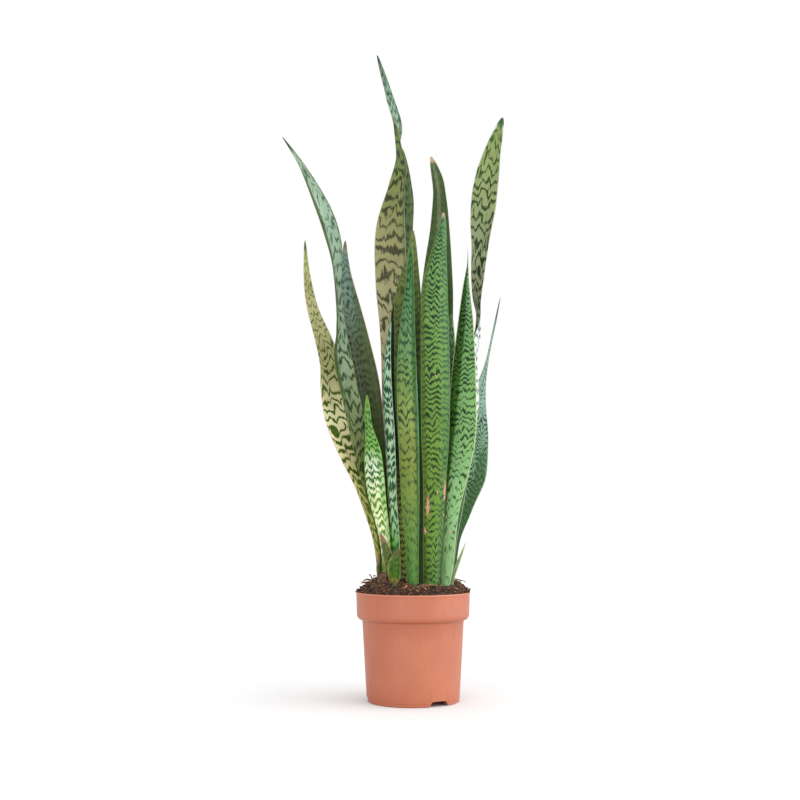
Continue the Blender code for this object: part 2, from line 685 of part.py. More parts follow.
def bark_chip(parts, pockets):
    x, y = BARK_PLACE
    height = POT_HEIGHT + soil_height(x, y) + BARK_SIZE[2] / 2 - BARK_SINK
    chip = object_of("bark_chip", bark_mesh(0.0), parts)
    pocket = object_of("pocket_bark_chip", bark_mesh(3 * GAP), pockets)
    for obj in (chip, pocket):
        obj.location = (x, y, height)
        obj.rotation_euler = [math.radians(angle) for angle in BARK_TILT]
    finished(chip, material("bark", BARK_BROWN, 0.85), 30)


def twig_object(name, radius, collection):
    """A thin bent stick that stands in the soil, as a curve made into a closed mesh."""
    curve = bpy.data.curves.new(name, "CURVE")
    curve.dimensions = "3D"
    curve.bevel_depth = radius
    curve.bevel_resolution = 1
    curve.use_fill_caps = True
    x, y = TWIG_FOOT
    foot = Vector((x, y, POT_HEIGHT + soil_height(x, y)))
    rise = Vector(TWIG_RISE)
    spline = curve.splines.new("POLY")
    shares = (-TWIG_BURIED, 0.1, 0.4, 0.7, 1.0)
    spline.points.add(len(shares) - 1)
    for point, share in zip(spline.points, shares):
        bend = Vector((TWIG_BEND * math.sin(share * math.pi), 0.0, 0.0))
        point.co = (*(foot + rise * share + bend), 1.0)
    obj = object_of(name, curve, collection)
    bpy.context.view_layer.update()
    return object_of(name, mesh_of(obj), collection)


def twig(parts, pockets):
    made = twig_object("twig", TWIG_RADIUS, parts)
    finished(made, material("twig_wood", TWIG_BROWN, 0.8))
    twig_object("pocket_twig", TWIG_RADIUS + GAP, pockets)


def cut_pockets(ground, pockets):
    """Takes all the pockets out of the soil with one Boolean modifier."""
    for pocket in pockets.objects:
        pocket.hide_render = True
        pocket.display_type = "WIRE"
    boolean = ground.modifiers.new("pockets", "BOOLEAN")
    boolean.operation = "DIFFERENCE"
    boolean.solver = "EXACT"
    boolean.operand_type = "COLLECTION"
    boolean.collection = pockets


def main():
    clear_scene()
    parts = new_collection("potted_snake_plant")
    cutters = new_collection("cutters", hidden=True)
    pockets = new_collection("soil_pockets", hidden=True)
    pot(parts, cutters)
    ground = soil(parts)
    leaves(parts, pockets)
    bark_chip(parts, pockets)
    twig(parts, pockets)
    cut_pockets(ground, pockets)


main()
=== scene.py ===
# %% [markdown]
# # A potted snake plant
#
# Sixteen sword leaves, four short sheaths, a young shoot, potting soil and a plastic nursery pot. The packed
# model gives every piece its place and size. This lesson loads it first, as a frame that stays as it is, and
# then builds the surfaces that are seen: blades with zigzag bands, crumbly soil with bark and coir, and a
# satin pot.

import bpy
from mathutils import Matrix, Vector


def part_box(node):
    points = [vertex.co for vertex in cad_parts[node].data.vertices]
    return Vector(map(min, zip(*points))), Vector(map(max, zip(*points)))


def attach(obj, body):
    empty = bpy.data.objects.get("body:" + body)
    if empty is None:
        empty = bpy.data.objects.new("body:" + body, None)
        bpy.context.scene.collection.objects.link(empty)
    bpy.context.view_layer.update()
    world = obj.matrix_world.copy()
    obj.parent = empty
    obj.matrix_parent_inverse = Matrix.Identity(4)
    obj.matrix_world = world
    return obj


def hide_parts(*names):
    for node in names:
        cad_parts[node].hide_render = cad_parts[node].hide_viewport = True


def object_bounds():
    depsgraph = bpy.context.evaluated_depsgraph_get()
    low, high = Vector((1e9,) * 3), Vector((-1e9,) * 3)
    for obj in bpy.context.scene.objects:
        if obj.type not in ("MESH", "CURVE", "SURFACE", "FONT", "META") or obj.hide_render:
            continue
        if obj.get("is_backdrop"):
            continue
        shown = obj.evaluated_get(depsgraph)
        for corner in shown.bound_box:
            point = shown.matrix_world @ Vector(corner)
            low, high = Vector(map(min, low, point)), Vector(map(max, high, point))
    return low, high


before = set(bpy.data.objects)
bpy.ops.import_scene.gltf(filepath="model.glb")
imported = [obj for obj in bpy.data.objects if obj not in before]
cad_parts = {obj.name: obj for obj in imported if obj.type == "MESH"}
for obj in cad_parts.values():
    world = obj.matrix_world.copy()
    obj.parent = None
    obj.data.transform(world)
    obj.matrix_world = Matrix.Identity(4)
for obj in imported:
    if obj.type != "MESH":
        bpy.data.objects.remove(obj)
frame_box = [list(corner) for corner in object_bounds()]
print("frame from", frame_box[0], "to", frame_box[1])

# %% [markdown]
# The rest of the lesson works as a person would in the window: a primitive is added, shaped in edit mode and
# finished with modifiers. An operator acts on everything that is selected, so a small helper first puts one
# piece in hand.

# %% Helpers for hands
import math
import random
from collections import namedtuple
from itertools import combinations

import bpy
import numpy as np
from mathutils import Euler, Matrix, Vector, noise


def take(piece):
    """Selects this piece alone."""
    bpy.ops.object.select_all(action="DESELECT")
    piece.select_set(True)
    bpy.context.view_layer.objects.active = piece
    return piece


def drop_all():
    bpy.ops.object.select_all(action="DESELECT")


def name_it(name):
    """Names the piece that was just added."""
    piece = bpy.context.object
    piece.name = piece.data.name = name
    return piece


def edit(piece):
    take(piece)
    bpy.ops.object.mode_set(mode="EDIT")


def done():
    bpy.ops.object.mode_set(mode="OBJECT")


def hold(action):
    """Selects or deselects all corners, edges and faces in edit mode."""
    bpy.ops.mesh.select_all(action=action)


def face_out():
    """Turns every face of the piece in edit mode outwards."""
    hold("SELECT")
    bpy.ops.mesh.normals_make_consistent(inside=False)


def apply_modifier(piece, kind, **settings):
    """Adds a modifier, sets it and applies it."""
    take(piece)
    bpy.ops.object.modifier_add(type=kind)
    modifier = piece.modifiers[-1]
    for key, value in settings.items():
        setattr(modifier, key, value)
    bpy.ops.object.modifier_apply(modifier=modifier.name)


def places(piece):
    """The piece's corners as rows of x, y and z."""
    found = np.empty(len(piece.data.vertices) * 3, np.float32)
    piece.data.vertices.foreach_get("co", found)
    return found.reshape(-1, 3).astype(float)


def move_to(piece, rows):
    piece.data.vertices.foreach_set("co", np.asarray(rows, np.float32).ravel())
    piece.data.update()


print("hands are ready")

# %% [markdown]
# Colours are given as the codes that Blender's colour field takes, and turned into the linear values of a
# shader. A finished piece gets its material, rides on the plant's one body and stands for its node.

# %% Helpers for colours and finished pieces
BODY = "root"


def swatch(code):
    """The linear values that a shader takes, from a colour code as the colour field shows it."""
    parts = [int(code[start:start + 2], 16) / 255 for start in (0, 2, 4)]
    return (*(part / 12.92 if part <= 0.04045 else ((part + 0.055) / 1.055) ** 2.4 for part in parts), 1.0)


def paint(code, tone):
    """A swatch made darker or lighter by a tone."""
    return (*(part * tone for part in swatch(code)[:3]), 1.0)


def finish_piece(piece, node, slot, material):
    """Gives a piece its finish, lets it ride and lets it stand for its node of the frame."""
    piece.data.materials.clear()
    piece.data.materials.append(material)
    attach(piece, BODY)
    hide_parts(node)
    return piece


print("terracotta is", [round(part, 3) for part in swatch("a04e27")])

# %% [markdown]
# A material is a small circuit. A wire is a value on its way through it, and sums with wires add the Math
# nodes that work them out, so that a finish reads like a formula. One material at a time is in hand, as a
# piece is.

# %% Helpers for materials
class Wire:
    """A value in the material in hand."""

    tree = None

    def __init__(self, socket):
        self.socket = socket


for sign, operation in (("add", "ADD"), ("sub", "SUBTRACT"), ("mul", "MULTIPLY"), ("truediv", "DIVIDE")):
    setattr(Wire, f"__{sign}__", lambda one, other, operation=operation: calc(operation, one, other))


def plug(value, socket):
    """Links a wire to the socket, or sets the socket to a plain value."""
    if isinstance(value, Wire):
        Wire.tree.links.new(value.socket, socket)
    else:
        socket.default_value = value


def add_node(kind, inputs=(), **settings):
    node = Wire.tree.nodes.new(kind)
    for key, value in settings.items():
        setattr(node, key, value)
    for key, value in dict(inputs).items():
        plug(value, node.inputs[key])
    return node


def wire_from(kind, inputs=(), output=0, **settings):
    """The wire that leaves a new node."""
    return Wire(add_node(kind, inputs, **settings).outputs[output])


def calc(operation, *values):
    return wire_from("ShaderNodeMath", enumerate(values), operation=operation)


def eased(value, low, high, start=0.0, end=1.0):
    """A soft step of the value from low to high."""
    inputs = {"Value": value, "From Min": low, "From Max": high, "To Min": start, "To Max": end}
    return wire_from("ShaderNodeMapRange", inputs, interpolation_type="SMOOTHSTEP")


def noise_of(vector, scale, detail=2.0):
    return wire_from("ShaderNodeTexNoise", {"Vector": vector, "Scale": scale, "Detail": detail})


def attribute(name):
    return wire_from("ShaderNodeAttribute", output="Fac", attribute_name=name)


def object_place():
    return wire_from("ShaderNodeTexCoord", output="Object")


def stretched(amount):
    """The object's place with its height counted by an amount, which draws a pattern out or packs it."""
    return wire_from("ShaderNodeMapping", {"Vector": object_place(), "Scale": (1.0, 1.0, amount)})


print("wires are ready")

# %% [markdown]
# Colours are wires too. They are laid over one another, as glazes are, by an amount that a noise or a
# measure gives, or read off a ramp. The last helper joins the result to the shader.

# %% Helpers for paint
def mixed(amount, first, second, way="MIX"):
    inputs = {0: amount, 6: first, 7: second}
    return wire_from("ShaderNodeMix", inputs, 2, data_type="RGBA", blend_type=way)


def glazed(colour, tint, value, low, high, amount=1.0, way="MIX"):
    """The colour with a tint laid over it, more and more as the value goes from low to high."""
    return mixed(eased(value, low, high, 0.0, amount), colour, tint, way)


def ramp(value, stops, tone=1.0):
    """A colour that changes along a value, through stops that are given as a percentage and a colour code."""
    node = add_node("ShaderNodeValToRGB", {0: value})
    line = node.color_ramp
    stops = [stop.split() for stop in stops.split(",")]
    while len(line.elements) < len(stops):
        line.elements.new(0.5)
    for element, (percent, code) in zip(line.elements, stops):
        element.position = int(percent) / 100
        element.color = paint(code, tone)
    return Wire(node.outputs[0])


def new_material(name, **constants):
    """A Principled material, now in hand, with its constant values set on the shader itself."""
    material = bpy.data.materials.new(name)
    material.use_nodes = True
    Wire.tree = material.node_tree
    shader = Wire.tree.nodes["Principled BSDF"]
    for key, value in constants.items():
        shader.inputs[key.replace("_", " ")].default_value = value
    return material, shader


def join_up(shader, colour, relief=None, depth=0.0, roughness=None):
    """Gives the shader its colour and, where there are any, its relief of a depth and its roughness."""
    plug(colour, shader.inputs["Base Color"])
    if relief is not None:
        bump = wire_from("ShaderNodeBump", {"Strength": 1.0, "Distance": depth, "Height": relief})
        plug(bump, shader.inputs["Normal"])
    if roughness is not None:
        plug(roughness, shader.inputs["Roughness"])


print("paints are ready")

# %% [markdown]
# The pot is a thin moulded wall: a stepped-out collar with a beaded lip, a tapering body, a foot ring, and a
# raised channel round a centre pad. Its radius and height come from the frame. Below, a name without HEIGHT
# or DROP is a radius, but for the heights of the SHOULDER and the CHANNEL.

# %% Sizes of the pot, from the frame
pot_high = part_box("pot")[1]
RIM = pot_high.x
RIM_HEIGHT = pot_high.z
WALL = 0.0016
BEAD = 0.0008  # radius of the lip's bead and of the foot's rounded edge
CORNER = 0.0006  # rounding of the channel's corners
GROOVE_STEP = 0.0001  # the fine groove above the foot is drawn in tenths of a millimetre
COLLAR_HEIGHT = 0.027
COLLAR = RIM - 0.0006
COLLAR_FOOT = COLLAR - 0.0008
BODY_TOP = COLLAR_FOOT - 0.0066
FOOT = BODY_TOP - 0.0058
SHOULDER_DROP = 0.0065
SHOULDER = RIM_HEIGHT - COLLAR_HEIGHT - SHOULDER_DROP
RING_INNER = FOOT - 0.006
CHANNEL = 0.0062
PAD = 0.028
print("pot rim radius", round(RIM, 4), "height", round(RIM_HEIGHT, 4))

# %% [markdown]
# The wall's outline is drawn first, as a potter's template: up the outside, over the lip and down the
# inside. The bead and the rounded edges are quarter circles, so that they catch a thin line of light.

# %% Outline of the pot
def quarter(centre, radius, start, end, steps=4):
    """Points of an arc in the (radius, height) plane, from one angle to another in degrees."""
    for number in range(steps + 1):
        angle = math.radians(start + (end - start) * number / steps)
        yield centre[0] + radius[0] * math.cos(angle), centre[1] + radius[1] * math.sin(angle)


def pot_profile():
    """The wall's outline from the centre pad out, up the outside, over the lip and down the inside."""
    yield from ((PAD, 0.0), (PAD + 0.0004, 0.0004))
    yield from ((PAD + WALL, CHANNEL - CORNER), (PAD + WALL + CORNER, CHANNEL))
    yield RING_INNER - WALL - CORNER, CHANNEL
    yield from ((RING_INNER - WALL, CHANNEL - CORNER), (RING_INNER, 0.0003))
    yield from quarter((FOOT - BEAD, BEAD), (BEAD, BEAD), -90, 0)
    for out, height in ((1, 27), (-3, 30), (-3, 34), (1, 37), (3, 44)):
        yield FOOT + out * GROOVE_STEP, height * GROOVE_STEP
    for share in (0.25, 0.5, 0.75):
        yield FOOT + (BODY_TOP - FOOT) * share, SHOULDER * share
    yield BODY_TOP, SHOULDER - 0.0008
    step = COLLAR_FOOT - BODY_TOP
    yield from quarter((BODY_TOP, SHOULDER + SHOULDER_DROP), (step, SHOULDER_DROP), -86, -4, 6)
    yield COLLAR_FOOT + 0.0001, SHOULDER + SHOULDER_DROP + 0.0010
    for share in (0.33, 0.66, 0.94):
        radius = COLLAR_FOOT + (COLLAR - COLLAR_FOOT) * share
        yield radius, RIM_HEIGHT - COLLAR_HEIGHT + (COLLAR_HEIGHT - 0.0030) * share
    yield from quarter((RIM - BEAD, RIM_HEIGHT - 2 * BEAD), (BEAD, BEAD), -60, 0, 3)
    yield from quarter((RIM - BEAD, RIM_HEIGHT - BEAD), (BEAD, BEAD), 0, 180, 8)
    inner = COLLAR_FOOT - WALL
    yield from ((inner + 0.0006, RIM_HEIGHT - 0.003), (inner, RIM_HEIGHT - COLLAR_HEIGHT + WALL))
    yield from ((BODY_TOP - WALL, SHOULDER + WALL), (FOOT - WALL, CHANNEL + WALL))
    yield from ((PAD, CHANNEL + WALL), (PAD - WALL, WALL))


print("outline of", len(list(pot_profile())), "points")

# %% [markdown]
# A potter would turn the pot, and so does this cell: one circle is extruded along the outline until the wall
# closes on itself. A Screw modifier would do it too, but extruding shows how an outline becomes a wall.

# %% Turn the pot
POT_SIDES = 144


def turned(name, profile, sides):
    """A closed wall: a circle extruded along the profile, with both of its ends filled."""
    drop_all()
    profile = list(profile)
    radius, height = profile[0]
    place = (0, 0, height)
    bpy.ops.mesh.primitive_circle_add(vertices=sides, radius=radius, fill_type="NGON", location=place)
    piece = name_it(name)
    bpy.ops.object.transform_apply(location=True)
    edit(piece)
    hold("SELECT")
    bpy.ops.mesh.delete(type="ONLY_FACE")
    hold("SELECT")
    bpy.ops.mesh.edge_face_add()
    bpy.ops.mesh.select_mode(type="EDGE")
    for next_radius, next_height in profile[1:]:
        bpy.ops.mesh.extrude_edges_move(TRANSFORM_OT_translate={"value": (0, 0, next_height - height)})
        scale = next_radius / radius
        bpy.ops.transform.resize(value=(scale, scale, 1), center_override=(0, 0, next_height))
        radius, height = next_radius, next_height
    bpy.ops.mesh.edge_face_add()
    face_out()
    done()
    return piece


pot = turned("nursery_pot", pot_profile(), POT_SIDES)
print("pot wall", len(pot.data.polygons), "faces")

# %% [markdown]
# The notches let water out from under the pot, and the drain holes let it out of the channel. For each, a
# cutter is taken away: a block that is narrower at its top, or a short cylinder. A Boolean is right, because
# the openings cross the turned faces at any place.

# %% Cut the notches and the drain holes
NOTCHES = 3
NOTCH_WIDTH = 0.030
NOTCH_NARROWING = 0.64
NOTCH_TOP = CHANNEL - 0.0003
FIRST_NOTCH = math.radians(-57)
DRAINS = 6
DRAIN_RADIUS = 0.004


def cut_with(piece, cutter):
    apply_modifier(piece, "BOOLEAN", operation="DIFFERENCE", solver="EXACT", object=cutter)
    bpy.data.objects.remove(cutter)


def notch_block(angle):
    """A block across the foot ring whose upper end is narrowed in edit mode."""
    drop_all()
    middle = (RING_INNER - WALL + FOOT) / 2
    bpy.ops.mesh.primitive_cube_add(size=1, location=(middle, 0, NOTCH_TOP / 2 - 0.001))
    block = name_it("notch_block")
    block.scale = (FOOT - RING_INNER + 4 * WALL, NOTCH_WIDTH, NOTCH_TOP + 0.002)
    bpy.ops.object.transform_apply(location=True, scale=True)
    rows = places(block)
    rows[rows[:, 2] > 0, 1] *= NOTCH_NARROWING
    move_to(block, rows)
    block.data.transform(Matrix.Rotation(angle, 4, "Z"))
    return block


def drain_drill(angle):
    drop_all()
    distance = (RING_INNER + PAD) / 2
    spot = (distance * math.cos(angle), distance * math.sin(angle), CHANNEL + WALL / 2)
    bpy.ops.mesh.primitive_cylinder_add(vertices=28, radius=DRAIN_RADIUS, depth=0.006, location=spot)
    drill = name_it("drill")
    bpy.ops.object.transform_apply(location=True)
    return drill


for number in range(NOTCHES):
    cut_with(pot, notch_block(FIRST_NOTCH + number * math.tau / NOTCHES))
for number in range(DRAINS):
    cut_with(pot, drain_drill(FIRST_NOTCH + (number + 0.5) * math.tau / DRAINS))
take(pot)
bpy.ops.object.shade_smooth_by_angle(angle=math.radians(28))
print("pot with openings", len(pot.data.polygons), "faces")

# %% [markdown]
# Nursery pots are moulded from recycled polypropylene coloured like terracotta. The plastic is satin, a
# little cloudy and faintly streaked by its flow up the wall, and the top of the lip is painted paler. Noise
# in the piece's own coordinates gives the cloud and the streaks, stretched along the height for the flow
# lines, and the height gives the paler lip.

# %% Finish of the pot
def pot_finish():
    material, shader = new_material("terracotta_plastic", IOR=1.5, Specular_IOR_Level=1.0)
    place = object_place()
    cloud = noise_of(place, 26.0, 3.0)
    flow = noise_of(stretched(0.12), 160.0)
    speckle = noise_of(place, 900.0, 1.0)
    colour = glazed(swatch("a04e27"), swatch("a75730"), cloud, 0.3, 0.75)
    colour = glazed(colour, swatch("9e4d28"), flow, 0.45, 0.8, 0.35)
    colour = glazed(colour, swatch("904426"), speckle, 0.62, 0.75, 0.25)
    height = wire_from("ShaderNodeSeparateXYZ", {0: place}, 2)
    # the top of the lip is painted paler
    colour = glazed(colour, swatch("b66a4a"), height, RIM_HEIGHT - 0.0022, RIM_HEIGHT - 0.0008, 0.7)
    join_up(shader, colour, flow + speckle * 0.4, 0.00006, eased(flow, 0.2, 0.8, 0.44, 0.54))
    return material


finish_piece(pot, "pot", "pot", pot_finish())
print("pot finished in", pot.active_material.name)

# %% [markdown]
# Potting soil is loose peat and coir: small lumps on larger ones, heaped against the leaves. The heap is a
# low dome with three mounds, and noise gives its lumps. The loose bits that come later need these heights
# too, so the heap is a function of place.

# %% Shape of the heap
EDGE_DROP = 0.0012
DOME = 0.0118
SOIL_EDGE = COLLAR_FOOT - WALL - 0.0001
SOIL_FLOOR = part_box("potting_soil")[0].z + 0.0005
# A mound is where it stands, how high it rises and how far it spreads.
MOUNDS = ((-0.036, 0.002, 0.010, 0.024), (0.050, 0.004, 0.008, 0.018), (-0.029, -0.026, 0.005, 0.012))


def heap(x, y):
    """Height of the soil without its lumps."""
    share = min(1.0, math.hypot(x, y) / RIM)
    height = DOME * (1 - share**4) - EDGE_DROP
    for mound_x, mound_y, rise, spread in MOUNDS:
        distance = math.hypot(x - mound_x, y - mound_y)
        height += (1 - share**6) * rise * math.exp(-((distance / spread) ** 2) / 2)
    return RIM_HEIGHT + height


def soil_top(x, y):
    """Height of the soil with lumps, crumbs and grains."""
    spot = Vector((x, y, 0.0))
    lumps = 0.0026 * noise.noise(spot / 0.011)
    crumbs = 0.0022 * noise.turbulence(spot / 0.0046, 2, False) - 0.0011
    grains = 0.0007 * noise.noise(spot / 0.0016)
    return heap(x, y) + lumps + crumbs + grains


print("heap rises", round((heap(0, 0) - RIM_HEIGHT) * 1000, 1), "mm above the rim at its middle")

# %% [markdown]
# The filling is made like the pot, one circle extruded up the inside of the wall and then inwards. It ends
# in many narrow rings, so that crumbs of a millimetre or two still have corners to move up and down.

# %% Spread the soil
SOIL_SIDES = 224
SOIL_RINGS = 52


def soil_profile():
    """From the bottom of the filling up the pot's inside, and then inwards ring by ring."""
    yield from ((PAD, SOIL_FLOOR), (PAD + 0.002, CHANNEL + 1.5 * WALL))
    yield from ((FOOT - 2 * WALL, CHANNEL + 1.5 * WALL), (BODY_TOP - 1.4 * WALL, 0.095))
    yield from ((SOIL_EDGE - 0.0004, 0.108), (SOIL_EDGE, RIM_HEIGHT - 0.004))
    for number in range(SOIL_RINGS):
        yield SOIL_EDGE * (1 - number / SOIL_RINGS), RIM_HEIGHT


soil = turned("soil_surface", soil_profile(), SOIL_SIDES)
rows = places(soil)
for row in rows:
    if row[2] > RIM_HEIGHT - 0.0005:
        row[2] = soil_top(row[0], row[1])
move_to(soil, rows)
take(soil)
bpy.ops.object.shade_smooth()
print("soil", len(soil.data.polygons), "faces")

# %% [markdown]
# Peat is nearly black where it is damp and in the gaps, and brown on the dry crumbs, with tan and orange
# bits. A Voronoi pattern gives each crumb its own tone, noise darkens the damp parts, and the roughness
# stays high.

# %% Finish of the soil
PEAT = "0 1a100d, 45 36241d, 80 563d30, 97 92603e"
CRUMB = "0 1c110e, 50 3c2820, 80 5e4233, 97 a06842"
COIR = "0 482f23, 40 70503a, 75 9c7656, 95 c49a70"


def soil_finish(name, tones, size):
    """Crumbs of the given tones, each one a few grains wide."""
    material, shader = new_material(name, Specular_IOR_Level=0.25)
    place = object_place()
    cells = add_node("ShaderNodeTexVoronoi", {"Vector": place, "Scale": 1 / size}).outputs
    tone = wire_from("ShaderNodeSeparateColor", {0: Wire(cells["Color"])})
    damp = noise_of(place, 70.0, 3.0)
    fine = noise_of(place, 1400.0)
    colour = glazed(ramp(tone, tones), swatch("281a14"), damp, 0.4, 0.65, 0.55)
    colour = glazed(colour, swatch("1e1410"), fine, 0.3, 0.7, 0.3)
    join_up(shader, colour, Wire(cells["Distance"]) + fine, 0.0004, eased(damp, 0.3, 0.7, 0.95, 0.72))
    return material


finish_piece(soil, "potting_soil", "soil", soil_finish("peat", PEAT, 0.0016))
print("soil finished in", soil.active_material.name)

# %% [markdown]
# A snake plant's leaf is a thick sword: fleshy and cupped at its foot, flat and slightly wavy higher up,
# with a fine hard margin and a pointed tip. Twisted blades could be built from planes, but the frame already
# holds each leaf as level rings of corners. A merged copy, with its triangles joined in fours, is a good
# cage to smooth.

# %% Copy a blade from the frame
MERGE = 0.00004


def cage_of(node, name):
    """The node's shape as a new piece, merged, with its triangles joined to four-sided faces."""
    drop_all()
    piece = bpy.data.objects.new(name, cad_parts[node].data.copy())
    piece.data.name = name
    piece.data.materials.clear()
    bpy.context.scene.collection.objects.link(piece)
    edit(piece)
    bpy.ops.mesh.customdata_custom_splitnormals_clear()
    hold("SELECT")
    bpy.ops.mesh.remove_doubles(threshold=MERGE)
    bpy.ops.mesh.tris_convert_to_quads(face_threshold=math.pi, shape_threshold=math.pi)
    done()
    return piece


print(len(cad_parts), "nodes can be copied")

# %% [markdown]
# To fold a blade or to paint it, its rings have to be known: which corners belong to each, which two are its
# margins, and which way it faces. The rings are found by walking up the cage from its lowest corners.

# %% Find the rings of a blade
AROUND = 8  # corners in a ring of the frame's blades
Ring = namedtuple("Ring", "corners left right middle side forward up")


def ring_from(corners, rightwards):
    """A ring's two margins, which are its farthest pair, and its sideways, forward and upward directions."""
    left, right = max(combinations(corners, 2), key=lambda pair: (pair[1].co - pair[0].co).length)
    if (right.co - left.co).dot(rightwards) < 0:
        left, right = right, left
    middle = (left.co + right.co) / 2
    side = (right.co - left.co).normalized()
    bulge = max((corner.co - middle for corner in corners), key=lambda arm: side.cross(arm).length)
    up = side.cross(bulge).normalized()
    up = up if up.z > 0 else -up
    indices = [corner.index for corner in corners]
    return Ring(indices, left.index, right.index, middle, side, side.cross(up), up)


def rings_of(piece):
    """The rings of a blade's cage, found by walking from the eight lowest corners up to the tip."""
    corners = piece.data.vertices
    beside = {corner.index: set() for corner in corners}
    for edge in piece.data.edges:
        first, second = edge.vertices
        beside[first].add(second)
        beside[second].add(first)
    level = set(sorted(beside, key=lambda index: corners[index].co.z)[:AROUND])
    seen, rings, rightwards = set(level), [], Vector((1, 0, 0))
    while len(level) == AROUND:
        ring = ring_from([corners[index] for index in sorted(level)], rightwards)
        rings.append(ring)
        rightwards = ring.side
        level = set().union(*(beside[index] for index in level)) - seen
        seen |= level
    tip = level.pop()
    rings.append(ring._replace(corners=[tip], left=tip, right=tip, middle=corners[tip].co.copy()))
    return rings


def widths_of(piece, rings):
    corners = piece.data.vertices
    return [(corners[ring.right].co - corners[ring.left].co).length for ring in rings]


print("a ring has", AROUND, "corners")

# %% [markdown]
# The bands follow the leaf and not the world, so each corner of a blade is told where it is: how far across,
# from -1 on the left margin to 1 on the right, how far up, how far in from the nearer margin, and on which
# of the two faces. These go on the mesh as named attributes, which a material can read.

# %% Measure a blade
LEAST_HALF = 0.0003  # half of the least width that a tip is measured by
Spot = namedtuple("Spot", "across along half forward total")


def spots_on(piece, rings, widths):
    """Where every corner lies between the rings below and above it."""
    rows = places(piece)
    middles = np.array([ring.middle for ring in rings])
    ups = np.array([ring.up for ring in rings])
    over = rows @ ups.T - (middles * ups).sum(axis=1)
    below = np.clip((over >= 0).sum(axis=1) - 1, 0, len(rings) - 2)
    each = np.arange(len(rows))
    low, high = over[each, below], over[each, below + 1]
    share = np.clip(low / np.maximum(low - high, 1e-9), 0, 1)

    def between(values):
        values = np.asarray(values, float)
        weight = share if values.ndim == 1 else share[:, None]
        return values[below] * (1 - weight) + values[below + 1] * weight

    lengths = np.concatenate([[0], np.cumsum(np.linalg.norm(np.diff(middles, axis=0), axis=1))])
    foot = np.interp(RIM_HEIGHT, middles[:, 2], lengths)
    half = np.maximum(between(widths) / 2, LEAST_HALF)
    side = between([ring.side for ring in rings])
    side /= np.linalg.norm(side, axis=1, keepdims=True)
    forward = between([ring.forward for ring in rings])
    across = ((rows - between(middles)) * side).sum(axis=1) / half
    return Spot(np.clip(across, -1, 1), between(lengths) - foot, half, forward, lengths[-1] - foot)


print("a spot on a blade has", Spot._fields)

# %% [markdown]
# Leaves in a full pot curl and twist where they meet. A fold moves the cage sideways round one height: all
# of it, its middle against its margins, or its margins apart. The tip is made a little fuller and longer.

# %% Fold a blade
TIP_FULLNESS = 1.25
TIP_REACH = 0.0025
Fold = namedtuple("Fold", "height spread shift belly skew", defaults=(0.0, 0.0, 0.0))


def fold_cage(piece, folds):
    """Curls the cage sideways round the height of each fold."""
    rings = rings_of(piece)
    across = spots_on(piece, rings, widths_of(piece, rings)).across
    rows = places(piece)
    for fold in folds:
        near = np.exp(-(((rows[:, 2] - fold.height) / fold.spread) ** 2) / 2)
        rows[:, 0] += near * (fold.shift + fold.belly * (1 - across**2) + fold.skew * across)
    move_to(piece, rows)


def fill_tip(piece, rings):
    """Makes the last ring fuller and the tip longer, because a tip that thin would vanish from sight."""
    rows = places(piece)
    last, tip = rings[-2], rings[-1].corners[0]
    middle = np.array(last.middle)
    rows[last.corners] = middle + (rows[last.corners] - middle) * TIP_FULLNESS
    away = rows[tip] - middle
    rows[tip] += away / np.linalg.norm(away) * TIP_REACH
    move_to(piece, rows)


print("a fold has", Fold._fields)

# %% [markdown]
# A real margin is a fine hard line. A bevel on the margin edges, from one ring's margin corner to the next
# one's, keeps it crisp. Smoothing draws a cage in, so it is first pushed out by as much, and the blade keeps
# its width.

# %% Crisp margins and a smooth blade
MARGIN_WIDTH = 0.0006


def bevel_margins(piece, rings, width):
    wanted = set()
    for low, high in zip(rings, rings[1:]):
        wanted |= {frozenset((low.left, high.left)), frozenset((low.right, high.right))}
    chosen = [frozenset(edge.vertices) in wanted for edge in piece.data.edges]
    edit(piece)
    bpy.ops.mesh.select_mode(type="EDGE")
    hold("DESELECT")
    done()
    piece.data.edges.foreach_set("select", chosen)
    edit(piece)
    bpy.ops.mesh.bevel(offset=width, segments=2, affect="EDGES", clamp_overlap=True)
    face_out()
    done()


def push_out(piece, levels, rounds=10):
    """Smooths the cage, after moving its corners outwards by what the smoothing takes away."""
    take(piece)
    bpy.ops.object.modifier_add(type="SUBSURF")
    smoothing = piece.modifiers[-1]
    smoothing.levels = smoothing.render_levels = levels
    wanted = places(piece)
    moved = wanted.copy()
    for _ in range(rounds):
        smooth = piece.evaluated_get(bpy.context.evaluated_depsgraph_get())
        reached = places(smooth)[: len(wanted)]
        moved += wanted - reached
        move_to(piece, moved)
        bpy.context.view_layer.update()
    bpy.ops.object.modifier_apply(modifier=smoothing.name)
    return np.linalg.norm(wanted - reached, axis=1).max()


print("margins are bevelled by", MARGIN_WIDTH * 1000, "mm")

# %% [markdown]
# A margin is never quite straight, so a few long waves lift it a millimetre forwards and backwards, more at
# the margins than in the middle. With that, all steps of a blade can follow one another.

# %% Ripple a blade and put the steps together
FULL_HALF = 0.012  # half of the width from which a blade ripples fully
FIRM_FOOT = 0.06  # length of the foot over which the ripple grows
WAVES = 3
FACING = 0.4  # how squarely a corner has to look forwards to count as on the front


def ripple_margins(piece, spots, reach, seed):
    chance = random.Random(seed)
    lift = 0
    for _ in range(WAVES):
        length, start, late = chance.uniform(0.045, 0.085), chance.uniform(0, 6.3), chance.choice((0, 1.9))
        lift = lift + np.sin(spots.along / length * math.tau + start + (spots.across > 0) * late) / WAVES
    grown = np.clip(spots.half / FULL_HALF, 0, 1) * np.clip(spots.along / FIRM_FOOT, 0, 1)
    move_to(piece, places(piece) + spots.forward * (lift * reach * spots.across**2 * grown)[:, None])


